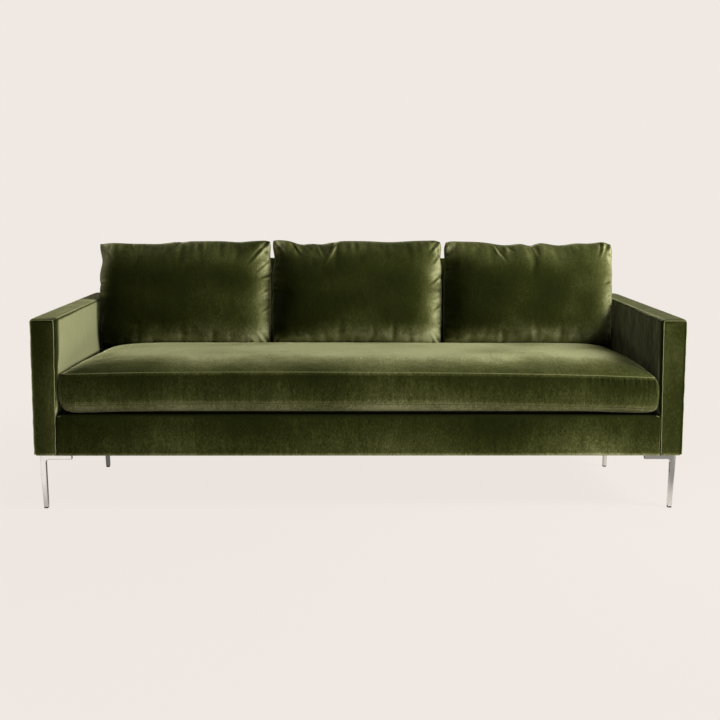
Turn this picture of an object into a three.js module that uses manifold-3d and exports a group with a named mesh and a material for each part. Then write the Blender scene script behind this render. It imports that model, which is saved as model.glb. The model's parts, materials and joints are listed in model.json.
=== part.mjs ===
// Three-seat sofa: slim sloping arms, a sprung seat with one bench cushion, three loose
// knife-edge back cushions and four polished steel legs. Millimetres, +Z up, +Y to the rear.
// The origin is on the floor under the middle of the sofa. Left and right are as seen from the front.

import * as THREE from 'three';
import { mergeVertices } from 'three/addons/utils/BufferGeometryUtils.js';
import Module from 'manifold-3d';

const wasm = await Module();
wasm.setup();

// Driving dimensions of the whole sofa
const sofaWidth = 2134;
const sofaDepth = 914;
const underside = 184.5; // height of the upholstery's lower edge above the floor
const armThickness = 77;
const armFrontHeight = 633;
const armRearHeight = 670;
const frontRailHeight = 136.5;
const backHeight = 814;
const backTopThickness = 110;
const backRakeDegrees = 7;

// Upholstery, timber and the gap between pieces that touch
const padding = 18.7; // foam and velvet over the timber
const railTopPadding = 15;
const backPadding = 19;
const fit = 0.3;
const railThickness = 38;
const sideRailThickness = 45;
const overrun = 40; // how far a cutting tool runs past the face it opens
const weldDistance = 0.0001;

// Edges of the upholstered shells
const shellEdge = 7;
const shellEdgeSteps = 2;
const armCorner = 14;
const railCorner = 16;
const backCorner = 12;
const cornerSteps = 3;

// Arm timbers
const armPostWidth = 70;
const armTopRailDepth = 34;
const armBaseRailHeight = 90;

// Seat box
const stretcherHeight = 70;
const cornerBlockLeg = 70;
const cornerBlockHeight = 60;
const legBlockLength = 75;
const legBlockWidth = 90;
const legBlockHeight = 45;

// Sinuous springs and the channels that hold their ends
const springCount = 8;
const springPeriods = 8;
const stepsPerPeriod = 6;
const wireRadius = 1.9;
const wireQuarters = 2; // steps in each half of the wire's round section
const springHalfWidth = 28;
const channelHeight = 9;
const channelDepth = 14;
const channelWall = 1.5;

// Deck and dust cover
const deckThickness = 12;
const deckRise = 2.7; // top of the deck above the front rail
const dustCoverThickness = 1.2;
const dustCoverInset = 12;
const dustCoverGap = 4; // round each leg's flange

// Back frame
const backMidRailHeight = 60;
const backMidRailLift = 120; // above the top of the rear seat rail

// Legs, glides and screws
const legBarWidth = 18;
const legBarDepth = 18;
const legFlare = 7; // the outer edge leans out by this much from foot to top
const flangeLength = 105;
const flangeRoot = 16;
const flangeTip = 9;
const legFillet = 12;
const legEdge = 1.5;
const glideHeight = 4;
const glideInset = 1;
const frontLegOutset = 9; // from the arm's outer face to the leg's outer top edge
const rearLegOutset = 74;
const frontLegSetback = 39; // from the front to the middle of the bar
const rearLegInset = 252; // from the rear to the middle of the bar
const screwRadius = 2.4;
const screwHeadRadius = 5;
const screwCrownRadius = 3.5;
const screwHeadHeight = 2.6;
const screwLength = 34;
const screwSeat = 6; // metal left between the screw head and the top of the flange
const screwPlaceShares = [0.38, 0.84]; // of the flange's length, from its outer end
const roundSides = 10;

// Seat cushion
const seatSetback = 6; // from the front of the arms to the cushion's front seam
const seatSideGap = 3;
const seatBottomBulge = 30;
const seatBorder = 108; // between the two seams
const seatCrown = 39;
const seatCorner = 26;
const seatEndPower = 12; // the crown falls steeply at the ends and gently from front to rear
const seatDepthPower = 3;
const seatFullness = 0.55; // lower is plumper
const seatBorderBulge = 5;
const seatGrid = [26, 12, 4];

// Back cushions
const backCushionCount = 3;
const backCushionGap = 8; // between neighbouring cushions, and between cushion and arm
const backCushionHeight = 416;
const backCushionThickness = 256;
const backCushionTop = 880;
const backCushionSink = 6; // how far the plump back is pressed flat by the sofa's back
const backCushionSeam = 4;
const backCushionDraw = 5; // how far each side is drawn in between its corners
const pillowEdgePower = 2.8;
const pillowFullness = 0.56; // lower is plumper
const backCushionGrid = [16, 2, 12];

// Places worked out from the sizes above
const halfWidth = sofaWidth / 2;
const innerHalf = halfWidth - armThickness;
const front = -sofaDepth / 2;
const rear = sofaDepth / 2;
const rakeSlope = Math.tan(THREE.MathUtils.degToRad(backRakeDegrees));
const railTop = underside + frontRailHeight;
const timberTop = railTop - railTopPadding - fit - channelHeight - fit;
const timberFront = front + padding + fit;
const frontRailRear = timberFront + railThickness;
const timberRear = rear - padding - fit;
const rearRailFront = timberRear - railThickness;
const sideRailOuter = innerHalf - fit;
const sideRailInner = sideRailOuter - sideRailThickness;
const deckTop = railTop + deckRise;
const deckUnderside = deckTop - deckThickness;
const springPitch = (2 * sideRailInner) / springCount;
const backHollowHalf = innerHalf - fit - padding;
const backTimberTop = backHeight - backPadding - fit;
const seatBottom = deckTop + fit;

const armTopAt = (y) => armFrontHeight + ((armRearHeight - armFrontHeight) * (y - front)) / sofaDepth;
const backFaceAt = (z) => rear - backTopThickness - (backHeight - z) * rakeSlope;
const backTimberFaceAt = (z) => backFaceAt(z) + backPadding + fit;

const velvet = new THREE.MeshStandardMaterial({ color: 0x3a4018, roughness: 0.9, metalness: 0 });
const timber = new THREE.MeshStandardMaterial({ color: 0xc69c6d, roughness: 0.65, metalness: 0 });
const springSteel = new THREE.MeshStandardMaterial({ color: 0x6f7276, roughness: 0.4, metalness: 0.9 });
const polishedSteel = new THREE.MeshStandardMaterial({ color: 0xd2d0cb, roughness: 0.18, metalness: 1 });
const blackRubber = new THREE.MeshStandardMaterial({ color: 0x161616, roughness: 0.85, metalness: 0 });
const deckCloth = new THREE.MeshStandardMaterial({ color: 0x2b2c1c, roughness: 0.95, metalness: 0 });
const dustCloth = new THREE.MeshStandardMaterial({ color: 0x1b1b1b, roughness: 0.95, metalness: 0 });

const sofa = new THREE.Group();

function add(name, geometry, material, x = 0, y = 0, z = 0) {
  const mesh = new THREE.Mesh(geometry, material);
  mesh.name = name;
  mesh.position.set(x, y, z);
  sofa.add(mesh);
  return mesh;
}

// Closed geometry with its shared vertices merged
function welded(geometry) {
  const bare = geometry.clone();
  bare.deleteAttribute('normal');
  bare.deleteAttribute('uv');
  return mergeVertices(bare, weldDistance);
}

function solidOf(geometry) {
  const closed = welded(geometry);
  return new wasm.Manifold(
    new wasm.Mesh({
      numProp: 3,
      vertProperties: new Float32Array(closed.attributes.position.array),
      triVerts: new Uint32Array(closed.index.array),
    }),
  );
}

function geometryOf(solid) {
  const mesh = solid.getMesh();
  const geometry = new THREE.BufferGeometry();
  geometry.setAttribute('position', new THREE.BufferAttribute(new Float32Array(mesh.vertProperties), 3));
  geometry.setIndex(new THREE.BufferAttribute(new Uint32Array(mesh.triVerts), 1));
  geometry.computeVertexNormals();
  return geometry;
}

// What is left of a geometry once others are taken out of it
function cut(geometry, ...tools) {
  let solid = solidOf(geometry);
  for (const tool of tools) {
    solid = solid.subtract(solidOf(tool));
  }
  return geometryOf(solid);
}

// A box between two opposite corners
function block(low, high) {
  const size = high.map((value, i) => Math.abs(value - low[i]));
  const middle = high.map((value, i) => (value + low[i]) / 2);
  return new THREE.BoxGeometry(...size).translate(...middle);
}

// An outline through corner points, each corner rounded by its own radius
function outline(corners, radii) {
  const shape = new THREE.Shape();
  corners.forEach((corner, i) => {
    const here = new THREE.Vector2(...corner);
    const before = new THREE.Vector2(...corners.at(i - 1)).sub(here);
    const after = new THREE.Vector2(...corners[(i + 1) % corners.length]).sub(here);
    const start = here.clone().addScaledVector(before.normalize(), radii[i]);
    const end = here.clone().addScaledVector(after.normalize(), radii[i]);
    if (i === 0) {
      shape.moveTo(start.x, start.y);
    } else {
      shape.lineTo(start.x, start.y);
    }
    if (radii[i] > 0) {
      shape.quadraticCurveTo(here.x, here.y, end.x, end.y);
    }
  });
  shape.closePath();
  return shape;
}

const sharp = (corners) => outline(corners, corners.map(() => 0));

function extruded(shape, length, edge, edgeSteps) {
  return new THREE.ExtrudeGeometry(shape, {
    depth: length - 2 * edge,
    curveSegments: cornerSteps,
    bevelEnabled: edge > 0,
    bevelThickness: edge,
    bevelSize: edge,
    bevelOffset: -edge,
    bevelSegments: edgeSteps,
  }).translate(0, 0, edge);
}

// A side view, drawn in y and z, carried across the sofa between two x places
function acrossX(shape, xLow, xHigh, edge = 0, edgeSteps = 1) {
  const turn = new THREE.Matrix4().makeBasis(
    new THREE.Vector3(0, 1, 0),
    new THREE.Vector3(0, 0, 1),
    new THREE.Vector3(1, 0, 0),
  );
  return extruded(shape, xHigh - xLow, edge, edgeSteps).applyMatrix4(turn).translate(xLow, 0, 0);
}

// A front view, drawn in x and z, carried rearward between two y places
function acrossY(shape, yLow, yHigh, edge = 0, edgeSteps = 1) {
  const turn = new THREE.Matrix4().makeRotationX(Math.PI / 2);
  return extruded(shape, yHigh - yLow, edge, edgeSteps).applyMatrix4(turn).translate(0, yHigh, 0);
}

// A plan view, drawn in x and y, carried upward between two heights
function upward(shape, zLow, zHigh) {
  return extruded(shape, zHigh - zLow, 0, 1).translate(0, 0, zLow);
}

// The four legs: where each one's outer top corner lies, and which way it faces
const legs = [];
for (const [place, outset, y] of [
  ['front', frontLegOutset, front + frontLegSetback],
  ['rear', rearLegOutset, rear - rearLegInset],
]) {
  for (const [hand, side] of [['left', -1], ['right', 1]]) {
    legs.push({ name: `${place}_${hand}`, side, x: side * (halfWidth - outset), y });
  }
}

// Every screw's place under the sofa
const screws = legs.flatMap((leg) =>
  screwPlaceShares.map((share, i) => ({
    name: `leg_screw_${leg.name}_${i + 1}`,
    x: leg.x - leg.side * share * flangeLength,
    y: leg.y,
  })),
);

const flangeTop = underside - fit;
const screwHeadTop = flangeTop - screwSeat - fit;

// Holes for the screws, wide enough to leave the usual gap round each shank
function screwHoles(radius, zLow, zHigh) {
  return screws.map(({ x, y }) =>
    new THREE.CylinderGeometry(radius, radius, zHigh - zLow, roundSides)
      .rotateX(Math.PI / 2)
      .translate(x, y, (zLow + zHigh) / 2),
  );
}

const pilotHoles = screwHoles(screwRadius + fit, underside - overrun, screwHeadTop + screwLength + fit);
const drilled = (geometry) => cut(geometry, ...pilotHoles);

function addLegs() {
  const topOuter = 0;
  const footOuter = -legFlare;
  const footInner = footOuter - legBarWidth;
  const tip = -flangeLength;
  const foot = glideHeight + fit - flangeTop;
  const corners = [
    [topOuter, 0],
    [tip, 0],
    [tip, -flangeTip],
    [footInner, -flangeRoot],
    [footInner, foot],
    [footOuter, foot],
  ];
  const radii = [0, 0, 0, legFillet, 0, 0];
  const bar = acrossY(outline(corners, radii), -legBarDepth / 2, legBarDepth / 2, legEdge, 1);
  const holes = screwPlaceShares.flatMap((share) => {
    const x = -share * flangeLength;
    const shank = new THREE.CylinderGeometry(screwRadius + fit, screwRadius + fit, overrun, roundSides);
    const pocketRadius = screwHeadRadius + fit;
    const pocket = new THREE.CylinderGeometry(pocketRadius, pocketRadius, overrun, roundSides);
    return [
      shank.rotateX(Math.PI / 2).translate(x, 0, 0),
      pocket.rotateX(Math.PI / 2).translate(x, 0, -screwSeat - overrun / 2),
    ];
  });
  const legGeometry = cut(bar, ...holes);
  const padWidth = legBarWidth - 2 * glideInset;
  const padDepth = legBarDepth - 2 * glideInset;
  const padGeometry = new THREE.BoxGeometry(padWidth, padDepth, glideHeight);
  for (const { name, side, x, y } of legs) {
    const leg = add(`leg_${name}`, legGeometry, polishedSteel, x, y, flangeTop);
    leg.rotation.z = side > 0 ? 0 : Math.PI;
    const footMiddle = x + side * (footOuter + footInner) / 2;
    add(`glide_${name}`, padGeometry, blackRubber, footMiddle, y, glideHeight / 2);
  }
}

function addScrews() {
  const profile = [
    [0, -screwHeadHeight],
    [screwCrownRadius, -screwHeadHeight],
    [screwHeadRadius, -screwHeadHeight / 2],
    [screwHeadRadius, 0],
    [screwRadius, 0],
    [screwRadius, screwLength - 2 * screwRadius],
    [0, screwLength],
  ].map(([radius, height]) => new THREE.Vector2(radius, height));
  const geometry = new THREE.LatheGeometry(profile, roundSides).rotateX(Math.PI / 2);
  for (const { name, x, y } of screws) {
    add(name, geometry, springSteel, x, y, screwHeadTop);
  }
}

function addArm(hand, side) {
  const [coverLow, coverHigh] = side > 0 ? [innerHalf, halfWidth] : [-halfWidth, -innerHalf];
  const [low, high] = [coverLow + padding + fit, coverHigh - padding - fit];
  const shellOutline = outline(
    [
      [front, underside],
      [rear, underside],
      [rear, armRearHeight],
      [front, armFrontHeight],
    ],
    [armCorner, armCorner, armCorner, armCorner],
  );
  const hollowFront = front + padding;
  const hollowRear = rear - padding;
  const hollow = sharp([
    [hollowFront, underside - overrun],
    [hollowRear, underside - overrun],
    [hollowRear, armTopAt(hollowRear) - padding],
    [hollowFront, armTopAt(hollowFront) - padding],
  ]);
  const shell = acrossX(shellOutline, coverLow, coverHigh, shellEdge, shellEdgeSteps);
  add(`arm_cover_${hand}`, cut(shell, acrossX(hollow, coverLow + padding, coverHigh - padding)), velvet);

  const railUpper = (y) => armTopAt(y) - padding - fit;
  const railLower = (y) => railUpper(y) - armTopRailDepth;
  const topRail = sharp([
    [timberFront, railLower(timberFront)],
    [timberRear, railLower(timberRear)],
    [timberRear, railUpper(timberRear)],
    [timberFront, railUpper(timberFront)],
  ]);
  add(`arm_top_rail_${hand}`, acrossX(topRail, low, high), timber);

  const post = (yLow, yHigh) =>
    acrossX(
      sharp([
        [yLow, underside],
        [yHigh, underside],
        [yHigh, railLower(yHigh) - fit],
        [yLow, railLower(yLow) - fit],
      ]),
      low,
      high,
    );
  const frontPostRear = timberFront + armPostWidth;
  const rearPostFront = timberRear - armPostWidth;
  add(`arm_front_post_${hand}`, drilled(post(timberFront, frontPostRear)), timber);
  add(`arm_rear_post_${hand}`, post(rearPostFront, timberRear), timber);
  const baseRail = block(
    [low, frontPostRear + fit, underside],
    [high, rearPostFront - fit, underside + armBaseRailHeight],
  );
  add(`arm_base_rail_${hand}`, baseRail, timber);
}

const backPostFoot = backTimberFaceAt(underside);

function addSeatBox() {
  const frontRail = block(
    [-sideRailOuter, timberFront, underside],
    [sideRailOuter, frontRailRear, timberTop],
  );
  add('seat_front_rail', drilled(frontRail), timber);
  const rearRail = block(
    [-sideRailOuter, rearRailFront, underside],
    [sideRailOuter, timberRear, timberTop],
  );
  add('seat_rear_rail', rearRail, timber);

  for (const [hand, side] of [['left', -1], ['right', 1]]) {
    const sideRail = block(
      [side * sideRailInner, frontRailRear + fit, underside],
      [side * sideRailOuter, backPostFoot - fit, timberTop],
    );
    add(`seat_side_rail_${hand}`, drilled(sideRail), timber);

    const stretcher = block(
      [side * springPitch - railThickness / 2, frontRailRear + fit, underside],
      [side * springPitch + railThickness / 2, backPostFoot - fit, underside + stretcherHeight],
    );
    add(`seat_stretcher_${hand}`, stretcher, timber);

    const blockOuter = sideRailInner - fit;
    const blockFront = frontRailRear + fit;
    const corner = sharp([
      [side * blockOuter, blockFront],
      [side * (blockOuter - cornerBlockLeg), blockFront],
      [side * blockOuter, blockFront + cornerBlockLeg],
    ]);
    add(`corner_block_${hand}`, upward(corner, underside, underside + cornerBlockHeight), timber);

    const rearLegY = rear - rearLegInset;
    const legBlock = block(
      [side * (blockOuter - legBlockLength), rearLegY - legBlockWidth / 2, underside],
      [side * blockOuter, rearLegY + legBlockWidth / 2, underside + legBlockHeight],
    );
    add(`rear_leg_block_${hand}`, drilled(legBlock), timber);
  }
}

// A steel channel in section, open towards the middle of the seat; facing is 1 when it opens rearward
function channelOutline(wallY, facing) {
  const mouth = wallY + facing * channelDepth;
  const inside = wallY + facing * channelWall;
  const base = timberTop + fit;
  const top = base + channelHeight;
  return sharp([
    [wallY, base],
    [mouth, base],
    [mouth, base + channelWall],
    [inside, base + channelWall],
    [inside, top - channelWall],
    [mouth, top - channelWall],
    [mouth, top],
    [wallY, top],
  ]);
}

const frontChannelWall = frontRailRear - channelDepth;
const rearChannelWall = rearRailFront + channelDepth;
const springFront = frontChannelWall + channelWall + fit;
const springRear = rearChannelWall - channelWall - fit;
const springEndHeight = timberTop + fit + channelWall + fit + wireRadius;
const springArch = deckUnderside - fit - wireRadius - springEndHeight;

// A flat wave from front to rear, arched upward: one straight step at each end, with the bends
// between them. Samples fall on the wave's own corners, six to a period.
class SinuousPath extends THREE.Curve {
  getPoint(t, target = new THREE.Vector3()) {
    const steps = springPeriods * stepsPerPeriod + 2;
    const along = THREE.MathUtils.clamp(t * steps - 1, 0, steps - 2);
    const phase = (2 * Math.PI * along) / stepsPerPeriod;
    return target.set(
      springHalfWidth * Math.sin(phase),
      THREE.MathUtils.lerp(springFront, springRear, t),
      springEndHeight + springArch * 4 * t * (1 - t),
    );
  }

  getUtoTmapping(u) {
    return u;
  }
}

function addSprings() {
  const channelHalf = sideRailInner;
  const frontChannel = acrossX(channelOutline(frontChannelWall, 1), -channelHalf, channelHalf);
  const rearChannel = acrossX(channelOutline(rearChannelWall, -1), -channelHalf, channelHalf);
  add('front_spring_channel', frontChannel, springSteel);
  add('rear_spring_channel', rearChannel, springSteel);

  const section = new THREE.Shape();
  section.absarc(0, 0, wireRadius, 0, 2 * Math.PI);
  const spring = new THREE.ExtrudeGeometry(section, {
    steps: springPeriods * stepsPerPeriod + 2,
    curveSegments: wireQuarters,
    bevelEnabled: false,
    extrudePath: new SinuousPath(),
  });
  for (let i = 0; i < springCount; i += 1) {
    const x = (i - (springCount - 1) / 2) * springPitch;
    add(`sinuous_spring_${i + 1}`, spring, springSteel, x);
  }
}

function addBackFrame() {
  const postTop = backTimberTop - railThickness - fit;
  const notchFront = rearRailFront - fit;
  const midRailLow = timberTop + backMidRailLift;
  const midRailHigh = midRailLow + backMidRailHeight;
  const postOutline = sharp([
    [backPostFoot, underside],
    [notchFront, underside],
    [notchFront, timberTop + fit + channelHeight + fit],
    [timberRear, timberTop + fit + channelHeight + fit],
    [timberRear, midRailLow - fit],
    [notchFront, midRailLow - fit],
    [notchFront, midRailHigh + fit],
    [timberRear, midRailHigh + fit],
    [timberRear, postTop],
    [backTimberFaceAt(postTop), postTop],
  ]);
  const outerPost = backHollowHalf - fit - railThickness / 2;
  for (const [hand, side] of [['left', -1], ['right', 1]]) {
    for (const [place, middle] of [['outer', outerPost], ['inner', springPitch]]) {
      const x = side * middle;
      const post = acrossX(postOutline, x - railThickness / 2, x + railThickness / 2);
      add(`back_post_${place}_${hand}`, post, timber);
    }
  }
  const half = backHollowHalf - fit;
  const topRail = sharp([
    [backTimberFaceAt(backTimberTop - railThickness), backTimberTop - railThickness],
    [timberRear, backTimberTop - railThickness],
    [timberRear, backTimberTop],
    [backTimberFaceAt(backTimberTop), backTimberTop],
  ]);
  add('back_top_rail', acrossX(topRail, -half, half), timber);
  const midRail = block([-half, rearRailFront, midRailLow], [half, timberRear, midRailHigh]);
  add('back_mid_rail', midRail, timber);
}

// The back's outside: the padded back above the deck, and the thin outside back down to the lower edge
function backShell() {
  const low = deckTop + fit;
  const hem = rear - padding;
  return acrossX(
    outline(
      [
        [backFaceAt(low), low],
        [hem, low],
        [hem, underside],
        [rear, underside],
        [rear, backHeight],
        [backFaceAt(backHeight), backHeight],
      ],
      [0, 0, 0, 0, backCorner, backCorner],
    ),
    -sideRailOuter,
    sideRailOuter,
    shellEdge,
    shellEdgeSteps,
  );
}

function addBackCover() {
  const low = deckTop - overrun;
  const high = backHeight - backPadding;
  const hollow = sharp([
    [backFaceAt(low) + backPadding, low],
    [rear - padding, low],
    [rear - padding, high],
    [backFaceAt(high) + backPadding, high],
  ]);
  add('back_cover', cut(backShell(), acrossX(hollow, -backHollowHalf, backHollowHalf)), velvet);
}

function addFrontRailCover() {
  const half = innerHalf - fit;
  const coverRear = frontRailRear + fit;
  const face = outline(
    [
      [-half, underside],
      [half, underside],
      [half, railTop],
      [-half, railTop],
    ],
    [0, 0, railCorner, railCorner],
  );
  const hollow = block(
    [-halfWidth, front + padding, underside - overrun],
    [halfWidth, coverRear + overrun, railTop - railTopPadding],
  );
  add('front_rail_cover', cut(acrossY(face, front, coverRear, shellEdge, shellEdgeSteps), hollow), velvet);
}

function addDeck() {
  const deck = block(
    [-sideRailOuter, frontRailRear + fit + fit, deckUnderside],
    [sideRailOuter, backTimberFaceAt(deckUnderside) - fit, deckTop],
  );
  add('seat_deck', deck, deckCloth);
}

// A black cloth under the whole sofa, cut back round the legs' flanges
function addDustCover() {
  const low = underside - fit - dustCoverThickness;
  const high = underside - fit;
  const sheet = block(
    [dustCoverInset - halfWidth, front + dustCoverInset, low],
    [halfWidth - dustCoverInset, rear - dustCoverInset, high],
  );
  const windows = legs.map(({ side, x, y }) => {
    const spare = legBarDepth / 2 + dustCoverGap;
    return block(
      [x + side * dustCoverGap, y - spare, low - overrun],
      [x - side * (flangeLength + dustCoverGap), y + spare, high + overrun],
    );
  });
  add('dust_cover', cut(sheet, ...windows), dustCloth);
}

// Draws the lines of a cushion's grid together towards its edges, where the form turns most
const crowded = (share) => (share + Math.sin((share * Math.PI) / 2)) / 2;

// Bends a block's outline so that its four upright corners have the given radius
function roundedPlan(x, y, halfX, halfY, radius) {
  const innerX = THREE.MathUtils.clamp(x, radius - halfX, halfX - radius);
  const innerY = THREE.MathUtils.clamp(y, radius - halfY, halfY - radius);
  const [dx, dy] = [x - innerX, y - innerY];
  const length = Math.hypot(dx, dy);
  const reach = length > 0 ? Math.max(Math.abs(dx), Math.abs(dy)) / length : 0;
  return [innerX + dx * reach, innerY + dy * reach];
}

// One boxed bench cushion: a border between two seams, a crowned top and a flatter underside
function seatCushion() {
  const halfX = innerHalf - seatSideGap - seatBorderBulge;
  const yLow = front + seatSetback;
  const yHigh = backFaceAt(seatBottom) - fit - seatBorderBulge;
  const halfY = (yHigh - yLow) / 2;
  const lowerSeam = seatBottom + seatBottomBulge;
  const upperSeam = lowerSeam + seatBorder;
  const geometry = welded(new THREE.BoxGeometry(2, 2, 2, ...seatGrid));
  const place = geometry.attributes.position;
  for (let i = 0; i < place.count; i += 1) {
    const [a, b, c] = [crowded(place.getX(i)), crowded(place.getY(i)), place.getZ(i)];
    const [x, y] = roundedPlan(a * halfX, b * halfY, halfX, halfY, seatCorner);
    const dome = (1 - Math.abs(a) ** seatEndPower) * (1 - Math.abs(b) ** seatDepthPower);
    const rise = dome ** seatFullness;
    let z = THREE.MathUtils.lerp(lowerSeam, upperSeam, (c + 1) / 2);
    if (c === 1) {
      z = upperSeam + seatCrown * rise;
    }
    if (c === -1) {
      z = lowerSeam - seatBottomBulge * Math.min(1, 2 * rise);
    }
    const swell = seatBorderBulge * (1 - c * c);
    place.setXYZ(i, x * (1 + swell / halfX), y * (1 + swell / halfY), z);
  }
  return geometry.translate(0, (yLow + yHigh) / 2, 0);
}

// One knife-edge cushion, upright and centred: plump in the middle, thin at its seam, with the
// sides drawn in between the corners
function pillow(width, height, thickness) {
  const geometry = welded(new THREE.BoxGeometry(2, 2, 2, ...backCushionGrid));
  const place = geometry.attributes.position;
  for (let i = 0; i < place.count; i += 1) {
    const [a, b, c] = [crowded(place.getX(i)), place.getY(i), crowded(place.getZ(i))];
    const dome = (1 - Math.abs(a) ** pillowEdgePower) * (1 - Math.abs(c) ** pillowEdgePower);
    const depth = backCushionSeam + (thickness / 2 - backCushionSeam) * dome ** pillowFullness;
    const x = a * (width / 2 - backCushionDraw * (1 - c * c));
    const z = c * (height / 2 - backCushionDraw * (1 - a * a));
    place.setXYZ(i, x, b * depth, z);
  }
  return geometry;
}

function addCushions() {
  const seat = seatCushion();
  add('seat_cushion', seat, velvet);

  const lean = THREE.MathUtils.degToRad(backRakeDegrees);
  const width = (2 * innerHalf - (backCushionCount + 1) * backCushionGap) / backCushionCount;
  const middleHeight = backCushionTop - (backCushionHeight / 2) * Math.cos(lean);
  const middleDepth = backFaceAt(middleHeight) - (backCushionThickness / 2 - backCushionSink) / Math.cos(lean);
  const backTool = backShell().translate(0, -fit / Math.cos(lean), 0);
  const seatTool = seat.clone().translate(0, 0, fit);
  const hands = ['left', 'centre', 'right'];
  hands.forEach((hand, i) => {
    const x = (i - (backCushionCount - 1) / 2) * (width + backCushionGap);
    const plump = pillow(width, backCushionHeight, backCushionThickness)
      .rotateX(-lean)
      .translate(x, middleDepth, middleHeight);
    add(`back_cushion_${hand}`, cut(plump, backTool, seatTool), velvet);
  });
}

for (const [hand, side] of [['left', -1], ['right', 1]]) {
  addArm(hand, side);
}
addSeatBox();
addSprings();
addBackFrame();
addDeck();
addDustCover();
addFrontRailCover();
addBackCover();
addLegs();
addScrews();
addCushions();

export default sofa;
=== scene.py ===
import json
from math import cos, pi, radians, sin, sqrt, tan

import bpy
import numpy as np
from mathutils import Matrix, Vector


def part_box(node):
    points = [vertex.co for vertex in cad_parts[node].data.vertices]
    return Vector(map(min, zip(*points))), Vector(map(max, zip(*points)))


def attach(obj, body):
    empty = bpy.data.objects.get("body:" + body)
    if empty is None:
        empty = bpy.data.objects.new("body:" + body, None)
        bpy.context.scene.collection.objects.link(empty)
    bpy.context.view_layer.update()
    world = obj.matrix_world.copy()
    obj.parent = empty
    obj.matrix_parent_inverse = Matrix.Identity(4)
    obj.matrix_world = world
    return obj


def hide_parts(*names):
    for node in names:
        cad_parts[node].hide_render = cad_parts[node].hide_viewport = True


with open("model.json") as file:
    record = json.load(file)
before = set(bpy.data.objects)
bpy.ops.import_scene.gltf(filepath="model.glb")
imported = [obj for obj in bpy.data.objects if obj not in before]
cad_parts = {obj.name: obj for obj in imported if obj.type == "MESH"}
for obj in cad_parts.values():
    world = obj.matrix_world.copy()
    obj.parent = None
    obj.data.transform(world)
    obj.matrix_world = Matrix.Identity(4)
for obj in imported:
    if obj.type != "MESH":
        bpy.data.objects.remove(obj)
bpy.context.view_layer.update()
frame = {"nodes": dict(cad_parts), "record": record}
SCENE = bpy.context.scene
HANDS = (("left", -1), ("right", 1))

# The photograph's camera: its frame in pixels, its focal length, and how far it looks down,
# to the right and leans, in radians
FRAME_PIXELS = 720
FOCAL_PIXELS = 1045.755
SENSOR_WIDTH = 36.0
CAMERA_PLACE = (-0.0473, -3.8388, 0.9065)
CAMERA_PITCH = 0.11897
CAMERA_YAW = 0.01426
CAMERA_ROLL = 0.00252

# Sizes that the boxes of the sofa's parts don't give, in metres, and leans in radians
ARM_RISE = 0.037
ARM_EDGE = 0.010
ARM_FRONT_EDGE = 0.004
ARM_ROLL = 0.0065
ARM_TAPER = 0.006
ARM_CROWN = 0.0035
BACK_RAKE = radians(7)
BACK_TOP_THICKNESS = 0.110
BACK_EDGE = 0.009
BACK_PANEL = 0.008
PADDING = 0.014
RAIL_CORNER = 0.015
RAIL_EDGE = 0.010
RAIL_DROP = 0.003
RAIL_END = 0.0025
SEAT_ENDS = (-0.9835, 0.9875)
SEAT_CORNER = 0.016
SEAT_BELLY = 0.037
SEAT_SEAMS = (0.359, 0.4615)
SEAT_BORDER_SWELL = 0.005
SEAT_END_SWELL = 0.003
SEAT_TOP_TUCKS = (0.006, 0.011)
PILLOW_HEIGHT = 0.420
PILLOW_FRONT = 0.107
PILLOW_REAR = 0.131
PILLOW_LEAN = radians(4)
PILLOW_PLACE = 0.195
PILLOW_SPAN = (0.325, 0.210)
CLEARANCE = 0.0015
SEAM_INSET = 0.0012
LEG_FLANGE = 0.0190
LEG_TOP_WIDTH = 0.0195
LEG_FOOT_WIDTH = 0.0140
LEG_FLARE = 0.0085
LEG_FILLET = 0.010
FLOOR_REACH = 30.0

# A grid's band reaches a hair past its rounded edge, an arc's middle lies this share of its radius
# inside the corner that it replaces, and an arm's grid lines lie this far from each of its edges
BAND = 1.0001
ARC_DEPTH = 0.29
ARM_LINES = (0, 0.0012, 0.0026, 0.0041, 0.0060, 0.0080, ARM_EDGE * BAND, 0.0130, 0.0155, 0.0180, 0.0215)

# How much lighter each arm's velvet is painted, painted light and shade from the lamps on the right and from
# below, darker below 0: on its inner face, outer face and top, how much lighter on the rear of its top, and how
# light at the top and at the foot of its front panel
ARM_PAINTED_LIGHT = {"left": (0.35, 0.7, 1.15, 1.3, -0.36, 0.09), "right": (0.12, -0.7, 0.0, 0.0, -0.15, 0.05)}

# Colours, linear
BACKGROUND = (0.871, 0.815, 0.768)
PILE_COLOURS = (
    (0.00, (0.0062, 0.0082, 0.0010)),
    (0.30, (0.0150, 0.0182, 0.0026)),
    (0.55, (0.0420, 0.0465, 0.0125)),
    (0.78, (0.1080, 0.1130, 0.0460)),
    (1.00, (0.2350, 0.2420, 0.1250)),
)
SHEEN_TINT = (0.94, 0.96, 0.52)
LAMP_COLOUR = (1.0, 0.98, 0.95)


# Numbers and grids

def banded(low, high, cells, band, steps):
    """Grid lines from low to high: even cells in the middle, and in the band at each end lines at the
    tangents of equal angles, which a rounded edge turns into equal arcs."""
    return edge_lines(low, high, cells, band * (1 - np.tan(np.linspace(pi / 4, 0, steps + 1))))


def edge_lines(low, high, cells, steps):
    """Grid lines from low to high: lines at the given distances from both ends, and even cells between."""
    near = np.asarray(steps)
    middle = np.linspace(low + near[-1], high - near[-1], cells + 1)
    return np.concatenate([low + near[:-1], middle, high - near[-2::-1]])


def eased(values, low, high):
    """0 below low, 1 above high, and a smooth cubic step between them."""
    share = np.clip((values - low) / (high - low), 0, 1)
    return share * share * (3 - 2 * share)


def held_under(values, limit, soft):
    """The smaller of two values, with their meeting rounded over the soft length."""
    return -soft * np.logaddexp(-values / soft, -limit / soft)


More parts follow.
